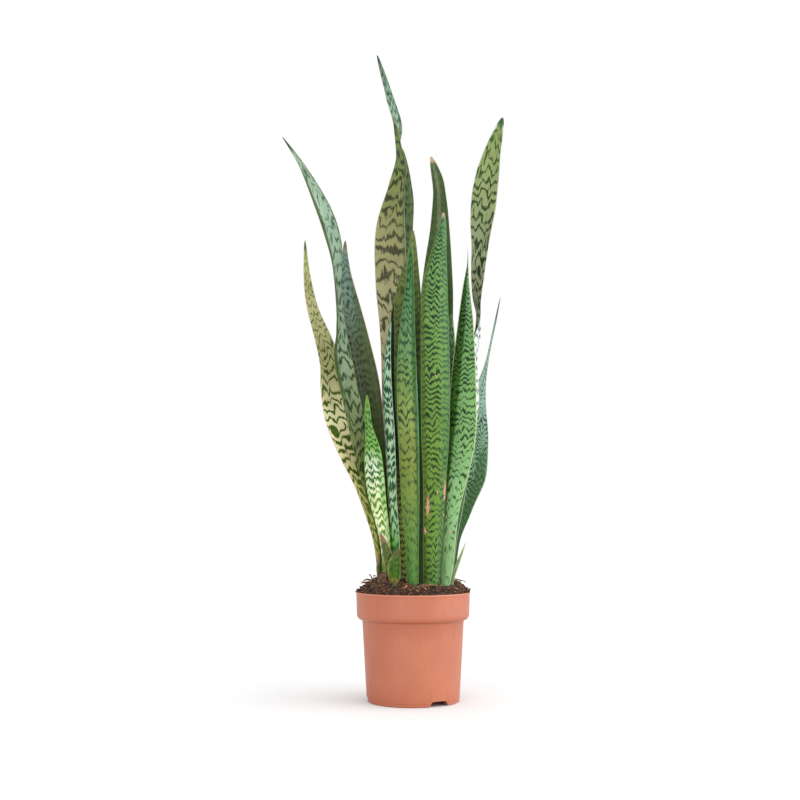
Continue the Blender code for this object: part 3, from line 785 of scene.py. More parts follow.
def blade_from(blade, name, seed):
    """A smooth blade with crisp, slightly rippled margins, and the attributes that its finish reads."""
    piece = cage_of(blade.node, name)
    fold_cage(piece, blade.folds)
    fill_tip(piece, rings_of(piece))
    rings = rings_of(piece)
    widths = widths_of(piece, rings)
    bevel_margins(piece, rings, MARGIN_WIDTH)
    off = push_out(piece, blade.levels)
    spots = spots_on(piece, rings, widths)
    ripple_margins(piece, spots, blade.ripple, seed)
    print(name, len(piece.data.polygons), "faces,", round(off * 1000, 2), "mm off its cage at most")
    normals = np.empty(len(spots.across) * 3, np.float32)
    piece.data.vertices.foreach_get("normal", normals)
    facing = (normals.reshape(-1, 3) * spots.forward).sum(axis=1)
    for key, values in (
        ("across", spots.across),
        ("along", spots.along),
        ("share", np.clip(spots.along / spots.total, 0, 1)),
        ("rim", (1 - np.abs(spots.across)) * spots.half),
        ("fore", np.clip(facing / FACING, -1, 1) / 2 + 0.5),
    ):
        made = piece.data.attributes.new(key, "FLOAT", "POINT")
        made.data.foreach_set("value", np.asarray(values, np.float32))
    take(piece)
    bpy.ops.object.shade_smooth()
    return piece, spots.total


print("ripples are made of", WAVES, "waves")

# %% [markdown]
# The zigzag bands are rows of dark cells that step up and down with the veins. A level, counted in bands up
# the blade, is bent by teeth that cross the width, by a slow wander, and by a fast noise that frays the
# edges. Where the bent level is near a whole number the leaf is dark. One node group does this for every
# leaf.

# %% The band pattern as a node group
BAND_INPUTS = "Across Along Share Seed Cover Period Zigzag Teeth Fray Soft Crowding".split()


def veins(across, along, seed, detail=3.0):
    """Noise on the blade. It runs along the veins where across is counted faster than along."""
    return noise_of(wire_from("ShaderNodeCombineXYZ", {"X": across, "Y": along, "Z": seed}), 1.0, detail)


def band_group():
    Wire.tree = group = bpy.data.node_groups.new("zigzag_bands", "ShaderNodeTree")
    group.interface.new_socket("Mask", in_out="OUTPUT", socket_type="NodeSocketFloat")
    for name in BAND_INPUTS:
        group.interface.new_socket(name, in_out="INPUT", socket_type="NodeSocketFloat")
    given = add_node("NodeGroupInput").outputs
    across, along, share, seed, cover, period, zigzag, teeth, fray, soft, crowding = (
        Wire(given[name]) for name in BAND_INPUTS)

    wobble = veins(across * 1.5, along * 22.0, seed + 3.0, 1.0) * 1.8
    tooth = calc("PINGPONG", calc("MULTIPLY_ADD", across, teeth, wobble), 0.5) * 2.0
    level = along * calc("MULTIPLY_ADD", crowding, share, 1.0) + (tooth - 0.5) * zigzag
    level = level + (veins(across * 0.9, along * 26.0, seed + 7.0, 2.0) - 0.5) * (period * 3.2)
    level = level + (veins(across * 13.0, along * 34.0, seed + 11.0, 2.0) - 0.5) * (fray * 4.0)
    level = level + (veins(across * 38.0, along * 60.0, seed + 13.0, 1.0) - 0.5) * (fray * 2.0)
    wave = calc("PINGPONG", level / period, 0.5) * 2.0
    patch = (veins(across * 2.4, along * 40.0, seed + 17.0, 2.0) - 0.5) * 1.3
    speck = (veins(across * 24.0, along * 300.0, seed + 23.0, 2.0) - 0.5) * 0.9
    limit = calc("SUBTRACT", 1.0, cover)
    bands = eased(wave + (patch + speck), limit - soft, limit + soft)
    flecks = eased(veins(across * 19.0, along * 230.0, seed + 31.0, 1.0), 0.68, 0.78, 0.0, 0.4)
    plug(calc("MAXIMUM", bands, flecks), add_node("NodeGroupOutput").inputs[0])
    return group


ZIGZAG = band_group()
print("pattern group has", len(ZIGZAG.nodes), "nodes")

# %% [markdown]
# A leaf's look is then a short list: the colours of the ground and of the bands from foot to tip, how the
# bands run, and the colours of margin, veins and tip. A strip is a part of the blade that is tinted
# lengthwise: left (-1) or right (1) of a line from a place at the foot to one at the tip, from one share of
# the length to another. On three front leaves, strips are painted shade on a side turned away from the light,
# and on one, painted light on the side turned towards it.

# %% Colours of one face
Bands = namedtuple(
    "Bands", "foot_cover tip_cover period zigzag teeth fray soft crowding", defaults=(0.07, 0.3))
Strip = namedtuple("Strip", "side foot tip colour amount start end way", defaults=(0.0, 1.0, "MIX"))
Look = namedtuple(
    "Look", "ground band bands margin tip vein vein_amount tip_run strips",
    defaults=("96a06e", "344a2c", "788268", 0.0, 0.016, ()))
BAND_TONE = 0.72  # the heart of a band is darker than it looks from afar
STRIP_FADE = 0.05  # share of the length over which a strip begins or ends


def face_colours(look, place, seed, tone):
    """The colour of one face of a blade, and a mask of its bands."""
    across, along, share = place
    foot_cover, tip_cover, *others = look.bands
    values = (*place, float(seed), eased(share, 0.0, 1.0, foot_cover, tip_cover), *others)
    mask = wire_from("ShaderNodeGroup", zip(BAND_INPUTS, values), node_tree=ZIGZAG)
    colour = mixed(mask, ramp(share, look.ground, tone), ramp(share, look.band, tone * BAND_TONE))
    if look.vein_amount:
        lines = veins(across * 9.0, along * 3.0, seed + 0.5)
        colour = glazed(colour, paint(look.vein, tone), lines, 0.5, 0.68, look.vein_amount)
    for strip in look.strips:
        colour = striped(colour, strip, place, seed, tone)
    return colour, mask


def striped(colour, strip, place, seed, tone):
    """Tints one side of a blade, with a boundary that wavers along the veins."""
    across, along, share = place
    waver = calc("MULTIPLY_ADD", veins(across * 2.0, along * 60.0, seed + 3.5), 0.22, -0.11)
    beyond = (across + waver - eased(share, 0.0, 1.0, strip.foot, strip.tip)) * float(strip.side)
    amount = eased(beyond, -0.06, 0.10, 0.0, strip.amount)
    for border, fade in ((strip.start, STRIP_FADE), (strip.end, -STRIP_FADE)):
        if STRIP_FADE < border < 1 - STRIP_FADE:
            amount = amount * eased(share, border - fade, border + fade)
    return mixed(amount, colour, paint(strip.colour, 1.0 if strip.way == "MULTIPLY" else tone), strip.way)


print("a look has", Look._fields)

# %% [markdown]
# Both faces, the cloudy tint of old skin, the fine grooves, the margin, the dried tip and the corky scars
# are laid over one another. Where a blade twists and shows its other face, that face may have a look of its
# own.

# %% Finish of a leaf
LIGHT_TONE = 0.70  # the paints are given as they look in a bright room, which lights them more than once over
CORK = "d4a286"


def scar(place, centre, size):
    """A patch of corky skin round a place on the blade, frayed by noise."""
    across, along, _ = place
    sideways = (across - centre[0]) / size[0]
    upwards = (along - centre[1]) / size[1]
    frayed = calc("MULTIPLY_ADD", veins(across * 14.0, along * 220.0, 5.5), -2.6, 1.3)
    return eased(calc("SQRT", sideways * sideways + upwards * upwards) + frayed, 1.0, 0.75)


def leaf_finish(name, blade, length, seed):
    material, shader = new_material(name, IOR=1.42, Specular_IOR_Level=0.14)
    look, tone = blade.fore, blade.tone * LIGHT_TONE
    place = [attribute(key) for key in ("across", "along", "share")]
    across, along, _ = place
    colour, mask = face_colours(look, place, seed, tone)
    if blade.aft is not None:
        other, _ = face_colours(blade.aft, place, seed + 40, tone)
        colour = mixed(eased(attribute("fore"), 0.4, 0.6), other, colour)
    cloud = noise_of(object_place(), 34.0)
    colour = glazed(colour, swatch("3c5428"), cloud, 0.35, 0.7, 0.16, "MULTIPLY")
    lines = veins(across * 30.0, along * 4.0, seed + 9.5)
    colour = glazed(colour, swatch("ecf2d6"), lines, 0.45, 0.75, 0.18, "SOFT_LIGHT")
    colour = glazed(colour, paint(look.margin, tone), attribute("rim"), 0.0011, 0.0004, 0.85)
    frayed = calc("MULTIPLY_ADD", lines, 0.4 * look.tip_run, along)
    dry_from, dry_to = length - 0.8 * look.tip_run, length - 0.3 * look.tip_run
    colour = glazed(colour, paint(look.tip, tone), frayed, dry_from, dry_to, 0.92)
    for centre, size in blade.scars:
        colour = mixed(scar(place, centre, size), colour, paint(CORK, LIGHT_TONE))
    roughness = eased(noise_of(object_place(), 90.0), 0.3, 0.7, 0.36, 0.52)
    join_up(shader, colour, calc("MULTIPLY_ADD", mask, -0.25, lines), 0.00022, roughness)
    return material


print("leaf finish is ready")

# %% [markdown]
# Now the looks themselves. The colours run from the soil to the tip, each after its place in percent of the
# length. Old leaves at the back are dull, dark or khaki, and the two that twist show a mint and a white
# face.

# %% Looks of the leaves at the back
KHAKI_FACE = Look(
    "0 969664, 40 ccc298, 62 9a9a6a, 74 848e54, 84 6e8642",
    "0 545436, 50 5c5e42, 70 505236, 78 32481e, 90 28401a",
    Bands(0.2, 0.42, 0.027, 0.012, 1.0, 0.005, 0.1, 0.35), margin="b6a084", tip="22463e", tip_run=0.02,
    strips=(Strip(1, 0.9, 0.72, "466e34", 0.55, 0.5, 0.86), Strip(1, 0.96, 0.93, "78a896", 0.8, 0.5, 0.86)))
MINT_FACE = Look(
    "85 92b692, 93 7e9e84, 100 5c7e6e",
    "85 3c6054, 100 284c46",
    Bands(0.2, 0.4, 0.019, 0.007, 1.2, 0.005), strips=(Strip(-1, -0.45, -0.55, "28544c", 0.6, 0.8, 0.93),
    Strip(1, 0.86, 0.9, "546838", 0.8, 0.8)))
SAGE_FACE = Look(
    "0 868e6c, 60 9ca280, 75 8e9970, 88 94a46a, 100 869c58",
    "0 243c1a, 60 223a18, 80 325224, 100 4c6c32",
    Bands(0.56, 0.34, 0.0165, 0.01, 1.3, 0.003, 0.07, 0.0), strips=(Strip(-1, -0.9, -0.9, "b0aa8c", 0.5),))
WHITE_FACE = Look(
    "0 305c26, 28 3e7434, 36 cedec8, 42 e8f0ee, 100 dee8e4",
    "0 345c4c, 50 406c62, 100 3c6254",
    Bands(0.3, 0.4, 0.015, 0.007, 1.2, 0.004), margin="d2dccd", tip="30582c")
PALE_GREEN_FACE = Look(
    "0 687634, 26 748042, 36 7e8e5c, 50 92a888, 70 94ae96, 80 a4c0a8, 100 a4bea2",
    "0 2a440c, 40 2c4c20, 60 38583a, 80 466c54, 100 3c6046",
    Bands(0.46, 0.16, 0.0155, 0.006, 1.2, 0.0035, 0.09, -0.1), margin="788654", tip="265028", tip_run=0.036,
    strips=(Strip(-1, -0.58, -0.5, "465c28", 0.92, 0.4, 0.92), Strip(1, 0.95, 0.8, "40644c", 0.5, 0.5, 0.95)))
OLIVE_FACE = Look(
    "0 586434, 100 546234",
    "0 34421e, 100 324220",
    Bands(0.35, 0.35, 0.012, 0.005, 1.5, 0.003))
STREAKED_OLIVE = Look(
    "0 425828, 55 4c6634, 75 5c7240, 88 465a2e, 100 707e58",
    "0 263a1a, 60 243c16, 85 2e461e, 100 485634",
    Bands(0.4, 0.25, 0.016, 0.006, 1.0, 0.005, 0.2), margin="5c6c3c", tip="ceaa8c", tip_run=0.012,
    vein="8e8e7a", vein_amount=0.75, strips=(Strip(1, 0.45, 0.35, "385a22", 0.75),
    Strip(-1, -0.5, -0.35, "304e1e", 0.6)))
GREY_OLIVE = Look(
    "0 626a48, 60 6c7656, 100 688050",
    "0 3a4828, 60 425230, 100 40582e",
    Bands(0.34, 0.3, 0.02, 0.004, 1.0, 0.006, 0.22), margin="5c6846", tip="54643a", vein="929082",
    vein_amount=0.65, strips=(Strip(-1, -0.3, -0.2, "487854", 0.4, 0.6),))
CREAM_KHAKI = Look(
    "0 cece64, 25 c8c874, 38 d0c894, 50 d0cc9e, 62 a4a26e, 82 a4a274, 94 a0a66a",
    "0 96a646, 20 788c34, 36 465e10, 50 46621a, 62 465e24, 80 60723c, 100 546c34",
    Bands(0.52, 0.22, 0.019, 0.014, 1.1, 0.0022, 0.06, 0.5), margin="ceb492", tip="2e582a", tip_run=0.022)
BLUE_OLIVE = Look(
    "0 3c481c, 36 3e4a20, 50 46562c, 70 566642, 85 769284, 100 8cac9e",
    "0 243010, 40 263414, 70 324024, 85 324840, 100 2e544a",
    Bands(0.36, 0.36, 0.014, 0.004, 1.0, 0.006, 0.18), margin="c4a08a", tip="6e7654", vein="686e6c",
    vein_amount=0.5, strips=(Strip(1, 0.1, 0.3, "4a5c28", 0.45, 0.2, 0.9),))
print("10 looks of the back")

# %% [markdown]
# Young leaves at the front are bright and closely banded, one at the left is a cream sport, and those that
# stand behind them in the shade are olive. Some looks here hold painted light and shade: painted shade on the
# left side of the keeled leaf, on the left of the bright front leaf and on the right of the centre leaf,
# painted light on the right of the bright front leaf, and on the dark centre leaf painted shade above a foot
# that is painted lighter.

# %% Looks of the leaves at the front
CENTRE_GREEN_PAINTED_SHADE = Look(
    "0 5c9646, 16 70963e, 36 8e9e42, 48 94a854, 60 7ea050, 74 6c9e68, 88 548e50, 100 3c7a2c",
    "0 3a6028, 30 425c22, 60 365638, 85 1e482e, 100 163c1a",
    Bands(0.13, 0.4, 0.014, 0.008, 1.0, 0.003, 0.11, 0.25), margin="80aa68", tip="6e8454", vein="78a880",
    # painted shade: the first strip, dark green, darkens the right side of this blade
    vein_amount=0.25, strips=(Strip(1, 0.72, 0.4, "2e622c", 0.7, 0.1),
    Strip(1, 0.88, 0.84, "60b088", 0.85, 0.15, 0.62), Strip(-1, -0.86, -0.8, "466028", 0.45)))
BRIGHT_GREEN_PAINTED_LIGHT_AND_SHADE = Look(
    "0 6a9648, 15 7aa442, 30 78a03e, 50 76a248, 75 7cac58, 92 72a45e, 100 64966e",
    "0 304a24, 30 2e4822, 60 28442c, 85 224634, 100 224e48",
    Bands(0.32, 0.46, 0.0092, 0.0055, 1.5, 0.002, 0.07, 0.22), margin="7c9a62", tip="d6b496", tip_run=0.01,
    # painted shade: the olive strip on the left side of this blade; painted light: the lighter strip over its
    # right part, which faces the window light
    vein="8cb65a", vein_amount=0.15, strips=(Strip(-1, -0.62, -0.7, "56681e", 0.6),
    Strip(1, 0.35, 0.3, "70a068", 0.35), Strip(1, 0.86, 0.84, "406e5a", 0.5)))
KEELED_GREEN_PAINTED_SHADE = Look(
    "0 8eba7e, 30 8cbc7c, 45 7cac68, 70 6ea05c, 85 72a670, 100 709874",
    "0 427038, 30 305624, 50 244218, 80 22441c, 100 32502e",
    Bands(0.11, 0.47, 0.015, 0.01, 1.3, 0.003, 0.07, 0.9), margin="ced696", tip="46683c", tip_run=0.03,
    # painted shade: this MULTIPLY strip darkens the left side of the keeled leaf, which the fold turns away
    # from the window light
    strips=(Strip(-1, -0.95, 0.12, "78942e", 0.9, 0.0, 1.0, "MULTIPLY"),))
SILVER_GREEN = Look(
    "0 78a070, 25 547c40, 40 7aa67c, 60 9cc2ac, 75 9cb8a4, 100 788e74",
    "0 24381a, 30 1e3a18, 50 285032, 75 547a64, 100 465c4a",
    Bands(0.5, 0.26, 0.0085, 0.012, 0.7, 0.0025, 0.12), margin="96b096", tip="54644e", tip_run=0.05,
    strips=(Strip(1, -0.1, 0.6, "3c6234", 0.65, 0.0, 0.48),))
PLAIN_OLIVE = Look(
    "0 3e4c20, 50 3e582c, 70 526236, 85 627038, 100 6e7c40",
    "0 263012, 60 283e1c, 85 424e2a, 100 54623a",
    Bands(0.4, 0.3, 0.015, 0.004, 1.0, 0.005, 0.2), margin="546838", tip="686e42",
    strips=(Strip(1, 0.2, 0.9, "3a481a", 0.85, 0.0, 0.4), Strip(1, 0.4, 0.95, "367438", 0.85, 0.4, 0.85)))
# painted shade: the dark colours from 45 percent up are this leaf as it looks in shade; painted light: its
# foot is painted much paler than it is, to make up for the shade it stands in
DARK_CENTRE_PAINTED_SHADE_AND_LIGHT = Look(
    "0 c4cc62, 25 b4c664, 45 324216, 100 22300e",
    "0 687430, 30 546428, 50 1a260c, 100 121c08",
    Bands(0.44, 0.4, 0.0085, 0.003, 1.2, 0.002, 0.16), margin="465422")
MOTTLED_MINT = Look(
    "0 4e9626, 16 5ca436, 27 a6c89a, 50 a8c8a4, 80 9cc2a0, 100 a0c4aa",
    "0 3e8420, 20 387034, 50 285434, 100 24543a",
    Bands(0.5, 0.56, 0.0165, 0.006, 1.1, 0.0035, 0.08), margin="bed0ba", tip="386842")
CREAM_SPORT = Look(
    "0 4c682c, 13 809848, 24 f6facc, 45 d8e4a8, 62 deecce, 72 78aa4e, 88 7cac56, 100 7ea054",
    "0 789632, 30 649428, 55 467c2c, 70 366c34, 100 507e38",
    Bands(0.36, 0.5, 0.012, 0.006, 1.3, 0.003), margin="82b846", tip="788c42",
    strips=(Strip(1, 0.25, 0.5, "5ca03c", 0.4, 0.1, 0.7),))
SHORT_GREEN = Look(
    "0 3e5c34, 100 4a6c4c",
    "0 24381c, 100 2a4022",
    Bands(0.45, 0.4, 0.012, 0.005, 1.5, 0.003))
print("9 looks of the front")

# %% [markdown]
# The short sheaths wrap the leaf feet. They are plain green with a faint pattern, and husky brown where they
# dry at the edge. The spike at the right is pale and nearly plain.

# %% Looks of the sheaths
SHEATH_GREEN = Look(
    "0 38541a, 19 42681e, 24 a86842, 29 9e9c3a, 38 547c2c, 100 547e32",
    "0 60681e, 50 305618, 100 385c1e",
    Bands(0.35, 0.35, 0.011, 0.003, 1.5, 0.005, 0.25), margin="96964e", tip="546032")
SHEATH_DRY = Look(
    "0 78643a, 40 647434, 100 708440",
    "0 544224, 50 3e5828, 100 46622c",
    Bands(0.35, 0.35, 0.011, 0.003, 1.5, 0.005, 0.25), margin="b0846e", tip="96785c")
SPIKE_GREEN = Look(
    "0 96b482, 100 82aa60",
    "0 608246, 100 54803c",
    Bands(0.3, 0.3, 0.01, 0.005, 1.5, 0.003, 0.2), margin="c8d4aa", tip="ced0a0")
print("3 looks of the sheath")

# %% [markdown]
# Every blade, with its look, its ripple in metres and how light it is; the short leaf at the right is made
# much lighter, as painted light that makes up for the shade it stands in. A scar is where a leaf rubbed on a
# neighbour: its place is given across and up the blade, and its size the same way.

# %% Grow the blades
Blade = namedtuple(
    "Blade", "node slot fore ripple tone aft levels scars folds", defaults=(1.0, None, 2, (), ()))
BLADES = (
    Blade("leaf_tallest", "leaf_khaki", KHAKI_FACE, 0.0014, aft=MINT_FACE, folds=(
        Fold(0.715, 0.028, 0.0095, -0.01, -0.001), Fold(0.662, 0.02, 0.0035, 0.002, 0.004))),
    Blade("leaf_right_tall", "leaf_khaki", WHITE_FACE, 0.0012, 1.05, aft=SAGE_FACE, folds=(
        Fold(0.457, 0.02, 0.008, -0.0065, 0.0016), Fold(0.355, 0.055, 0.0052))),
    Blade("leaf_left_tall", "leaf_pale", PALE_GREEN_FACE, 0.0008, 0.9, aft=OLIVE_FACE, folds=(
        Fold(0.52, 0.045, -0.0045),)),
    Blade("leaf_back_right", "leaf_dark", STREAKED_OLIVE, 0.0012, 0.94, levels=3),
    Blade("leaf_back_centre", "leaf_dark", GREY_OLIVE, 0.001, 1.25),
    Blade("leaf_outer_left", "leaf_khaki", CREAM_KHAKI, 0.0014, 1.3),
    Blade("leaf_back_left", "leaf_dark", BLUE_OLIVE, 0.0012, 1.1, folds=(Fold(0.28, 0.07, 0.001, 0, 0.002),)),
    Blade("leaf_front_centre", "leaf_green", CENTRE_GREEN_PAINTED_SHADE, 0.0006, 0.8),
    Blade("leaf_front_right", "leaf_green", BRIGHT_GREEN_PAINTED_LIGHT_AND_SHADE, 0.0006, 0.82, scars=(
        ((-0.58, 0.103), (0.17, 0.014)), ((0.92, 0.123), (0.12, 0.01)), ((-0.8, 0.074), (0.12, 0.004)),
        ((0.27, 0.121), (0.07, 0.0016)), ((0.05, 0.262), (0.07, 0.0016)), ((0.92, 0.094), (0.07, 0.0018)))),
    Blade("leaf_keeled_right", "leaf_green", KEELED_GREEN_PAINTED_SHADE, 0.0008, 0.92, scars=(
        ((0.0, 0.074), (0.12, 0.0022)), ((-0.35, 0.06), (0.08, 0.0014)))),
    Blade("leaf_bowed_right", "leaf_green", SILVER_GREEN, 0.001),
    Blade("leaf_behind_centre", "leaf_dark", PLAIN_OLIVE, 0.0008, 1.25, folds=(
        Fold(0.33, 0.13, 0.002, 0, 0.0045), Fold(0.148, 0.025, 0.0025, 0, 0.0025))),
    Blade("leaf_dark_centre", "leaf_dark", DARK_CENTRE_PAINTED_SHADE_AND_LIGHT, 0.0006, 1.2),
    Blade("leaf_narrow_left", "leaf_pale", MOTTLED_MINT, 0.0006, 1.2),
    Blade("leaf_variegated", "leaf_pale", CREAM_SPORT, 0.0008, 1.15),
    # painted light: this short leaf is made 3.4 times lighter, to make up for the shade that it stands in
    Blade("leaf_short_right", "leaf_dark", SHORT_GREEN, 0.0006, 3.4),
    Blade("sheath_front", "sheath", SHEATH_GREEN, 0.0003),
    Blade("sheath_left", "sheath", SHEATH_DRY, 0.0003),
    Blade("sheath_outer_left", "sheath", SHEATH_DRY, 0.0002),
    Blade("sheath_right_spike", "sheath", SPIKE_GREEN, 0.0002),
    Blade("young_shoot", "sheath", SHEATH_GREEN, 0.0001),
)
blades = {}
for number, blade in enumerate(BLADES, 1):
    piece, length = blade_from(blade, blade.node + "_blade", number)
    finish = leaf_finish(blade.node + "_skin", blade, length, number)
    blades[blade.node] = finish_piece(piece, blade.node, blade.slot, finish)
print(len(blades), "blades,", sum(len(piece.data.polygons) for piece in blades.values()), "faces")

# %% [markdown]
# Loose crumbs break up the heap's smooth edge. A crumb is a ball of twenty faces pulled out of shape, and a
# coir fibre is a bent curve with a round bevel. Each shape is repeated hundreds of times, so it has few
# faces.

# %% Model the crumbs and the fibres once
def crumb_kind(number):
    drop_all()
    bpy.ops.mesh.primitive_ico_sphere_add(subdivisions=1, radius=1.0)
    crumb = name_it(f"crumb_kind_{number}")
    rows = places(crumb)
    for row in rows:
        row *= 0.75 + 0.75 * noise.noise(Vector(row) * 1.3 + Vector((number * 5.0, 0, 0)))
    rows[:, 2] *= 0.7
    move_to(crumb, rows)
    return crumb


def fibre_kind(number, bends):
    """A curl one unit long, from a curve whose handles are pulled sideways."""
    drop_all()
    bpy.ops.curve.primitive_bezier_curve_add(radius=0.5)
    curl = name_it(f"fibre_kind_{number}")
    for point, bend in zip(curl.data.splines[0].bezier_points, bends):
        point.handle_left_type = point.handle_right_type = "FREE"
        point.handle_right = point.co + Vector((0.35, bend[0], bend[1]))
        point.handle_left = point.co + Vector((-0.35, bend[1], bend[0] * 0.6))
    curl.data.resolution_u = 6
    curl.data.bevel_depth = 0.038
    curl.data.bevel_resolution = 0
    curl.data.use_fill_caps = True
    take(curl)
    bpy.ops.object.convert(target="MESH")
    return bpy.context.object


CRUMB_KINDS = [crumb_kind(number) for number in range(4)]
FIBRE_KINDS = [fibre_kind(number, bends) for number, bends in enumerate((
    ((0.35, 0.10), (0.30, -0.12)), ((-0.40, 0.22), (0.35, 0.05)), ((0.15, 0.30), (-0.45, 0.16))))]
print("crumb", len(CRUMB_KINDS[0].data.polygons), "faces, fibre", len(FIBRE_KINDS[0].data.polygons), "faces")

# %% [markdown]
# Hundreds of copies are turned, scaled and dropped on the heap, away from the blades. The copies of a kind
# are joined into one piece, because they are one thing to whoever uses the part.

# %% Helpers to scatter bits
NEAR_SOIL = 0.045  # height above the rim up to which a blade is in the way
LEVEL = 0.006  # height in which a blade's corner counts as beside a bit
TILT = 0.22

feet = np.concatenate([rows[rows[:, 2] < RIM_HEIGHT + NEAR_SOIL] for rows in map(places, blades.values())])


def free_spot(chance, reach, clear):
    """A place on the heap that is clear of every blade."""
    while True:
        distance = reach * math.sqrt(chance.random())
        angle = chance.uniform(0, math.tau)
        x, y = distance * math.cos(angle), distance * math.sin(angle)
        z = soil_top(x, y)
        near = feet[np.abs(feet[:, 2] - z) < LEVEL]
        if np.hypot(near[:, 0] - x, near[:, 1] - y).min() > clear:
            return Vector((x, y, z))


def scattered(name, kinds, spots, sizes, chance):
    """Copies of the kinds at the spots, turned at random and joined into one piece."""
    copies = []
    for spot in spots:
        kind = chance.choice(kinds)
        copied = bpy.data.objects.new(name, kind.data.copy())
        bpy.context.scene.collection.objects.link(copied)
        turn = [chance.uniform(-TILT, TILT), chance.uniform(-TILT, TILT), chance.uniform(0, math.tau)]
        size = sizes[0] + (sizes[1] - sizes[0]) * chance.random() ** 2
        copied.data.transform(Matrix.LocRotScale(spot, Euler(turn), Vector((size, size, size))))
        copies.append(copied)
    drop_all()
    for copied in copies:
        copied.select_set(True)
    bpy.context.view_layer.objects.active = copies[0]
    bpy.ops.object.join()
    piece = bpy.context.object
    piece.name = piece.data.name = name
    print(name, len(copies), "copies,", len(piece.data.polygons), "faces")
    return piece


print(len(feet), "corners of blades are kept clear")

# %% [markdown]
# Most bits are crumbs, some are light, and the fibres lie on top of them. A few crumbs lie on the lip, where
# they were spilled when the plant was potted, most of them at the right and some at the left.

# %% Scatter them over the heap
CLEAR = 0.0016
FIBRE_CLEAR = 0.0036
FIBRE_INSET = 0.008
FIBRE_LIFT = Vector((0, 0, 0.0014))
SPILLS = ((0, 12, 16), (184, 7, 6))  # middle and spread of the angle, and how many

chance = random.Random(12)
crumb_spots = [free_spot(chance, SOIL_EDGE - 0.001, CLEAR) for _ in range(760)]
light_spots = [free_spot(chance, SOIL_EDGE - 0.001, CLEAR) for _ in range(120)]
fibre_spots = [free_spot(chance, SOIL_EDGE - FIBRE_INSET, FIBRE_CLEAR) + FIBRE_LIFT for _ in range(300)]
for angle in [chance.gauss(middle, spread) for middle, spread, count in SPILLS for _ in range(count)]:
    turn = math.radians(angle - 6)
    edge = Vector((math.cos(turn), math.sin(turn), 0)) * (RIM - chance.uniform(0.0005, 0.0045))
    crumb_spots.append(edge + Vector((0, 0, RIM_HEIGHT + chance.uniform(0.0004, 0.0022))))
for name, kinds, spots, sizes, material, tones, grain in (
    ("soil_crumbs", CRUMB_KINDS, crumb_spots, (0.0008, 0.0040), "dry_crumb", CRUMB, 0.0022),
    ("soil_light_bits", CRUMB_KINDS, light_spots, (0.0005, 0.0016), "light_bit", COIR, 0.0018),
    ("soil_fibres", FIBRE_KINDS, fibre_spots, (0.005, 0.017), "coir", COIR, 0.0030),
):
    bits = scattered(name, kinds, spots, sizes, chance)
    finish_piece(bits, "potting_soil", "soil", soil_finish(material, tones, grain))
for kind in CRUMB_KINDS + FIBRE_KINDS:
    bpy.data.objects.remove(kind)

# %% [markdown]
# One bark chip and one twig lie on the soil. Each starts as a merged copy of its node. The chip is broken
# along its layers, so it keeps sharp edges and gets a rough, streaked face; the twig is smoothed and
# knobbly.

# %% Bark chip and twig
def roughened(node, name, levels, size, reach, stretch):
    """A copy that is subdivided and then pulled about by noise."""
    piece = cage_of(node, name)
    apply_modifier(piece, "SUBSURF", levels=levels, render_levels=levels, subdivision_type="SIMPLE")
    take(piece)
    bpy.ops.object.shade_smooth_by_angle(angle=math.radians(35))
    middle = sum((Vector(corner) for corner in piece.bound_box), Vector()) / 8
    rows = places(piece)
    for row in rows:
        spot = Vector(row) - middle
        shift = noise.noise_vector(Vector((spot.x, spot.y, spot.z * stretch)) / size)
        row += np.array(shift) * reach
    move_to(piece, rows)
    return piece


def woody_finish(name, dark, light, scale):
    material, shader = new_material(name, Roughness=0.85, Specular_IOR_Level=0.25)
    layers = noise_of(stretched(3.5), scale, 4.0)
    grain = noise_of(object_place(), scale * 4)
    colour = glazed(swatch(dark), swatch(light), layers, 0.35, 0.65)
    colour = glazed(colour, swatch(dark), grain, 0.4, 0.7, 0.5)
    join_up(shader, colour, layers + grain, 0.0005)
    return material


noise.seed_set(11)  # a noise vector starts from the clock unless a seed is set
chip = roughened("bark_chip", "bark_chip_rough", 3, 0.0035, 0.0008, 2.5)
finish_piece(chip, "bark_chip", "bark", woody_finish("bark_layers", "36241d", "7c5c4c", 260.0))
stick = roughened("twig", "twig_rough", 2, 0.0030, 0.0003, 1.0)
finish_piece(stick, "twig", "bark", woody_finish("twig_skin", "30221c", "5c4638", 300.0))
print("chip", len(chip.data.polygons), "faces, twig", len(stick.data.polygons), "faces")

# %% [markdown]
# The camera stands where a person would look at the plant from, a little above the pot and looking slightly
# up. The floor is plain and pale.

# %% Camera and floor
CAMERA_PLACE = (-0.0159, -1.4, 0.225)
CAMERA_TILT = math.radians(95.74)

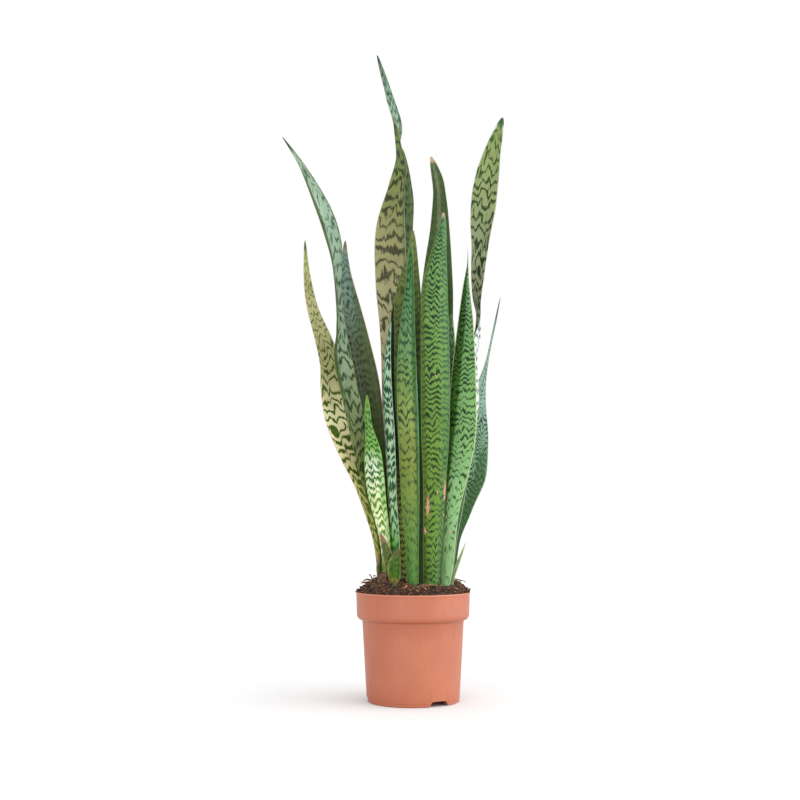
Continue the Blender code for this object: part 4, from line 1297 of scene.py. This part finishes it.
drop_all()
bpy.ops.object.camera_add(location=CAMERA_PLACE, rotation=(CAMERA_TILT, 0, 0))
camera = bpy.context.object
camera.name = "camera"
camera.data.sensor_width = 36.0
camera.data.lens = 50.85
camera.data.clip_start = 0.01
bpy.context.scene.camera = camera

bpy.ops.mesh.primitive_plane_add(size=16, location=(0, 0, -0.0004))
floor = name_it("floor")
floor_material, floor_shader = new_material("pale_floor", Roughness=0.9, Specular_IOR_Level=0.1)
join_up(floor_shader, mixed(noise_of(object_place(), 3.0), swatch("d5d5d5"), swatch("d7d7d7")))
floor.data.materials.append(floor_material)
floor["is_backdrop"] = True
print("camera at", CAMERA_PLACE, "on a floor of 16 m")

# %% [markdown]
# The room is bright and even. One large soft light comes low from the right, as from a window, a weaker one
# fills in from the left, and a faint one comes from above. Broad suns give the same light all over the
# plant.

# %% Light
def soft_sun(name, azimuth, elevation, strength, width):
    """A broad far light, by its angle right of the camera and above the floor, and its width."""
    drop_all()
    bpy.ops.object.light_add(type="SUN", location=(0, 0, 2))
    light = bpy.context.object
    light.name = name
    light.data.angle = math.radians(width)
    light.data.energy = strength
    turn, rise = math.radians(azimuth), math.radians(elevation)
    away = Vector((math.sin(turn) * math.cos(rise), -math.cos(turn) * math.cos(rise), math.sin(rise)))
    light.rotation_euler = (-away).to_track_quat("-Z", "Y").to_euler()


soft_sun("window", 76, 6, 4.0, 90)
soft_sun("fill", -20, 12, 1.2, 50)
soft_sun("ceiling", 0, 88, 0.8, 80)

world = bpy.data.worlds.new("bright_room")
bpy.context.scene.world = world
world.use_nodes = True
background = world.node_tree.nodes["Background"]
background.inputs["Color"].default_value = (1, 1, 1, 1)
background.inputs["Strength"].default_value = 1.0
bpy.context.scene.view_settings.view_transform = "Standard"
print("three suns and a bright room")

# %% [markdown]
# Last, the box of the frame and the box of what is seen are written side by side, so that they can be
# compared.

# %% Write the sizes and finish
seen_box = [list(corner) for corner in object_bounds()]
print("seen from", seen_box[0], "to", seen_box[1])
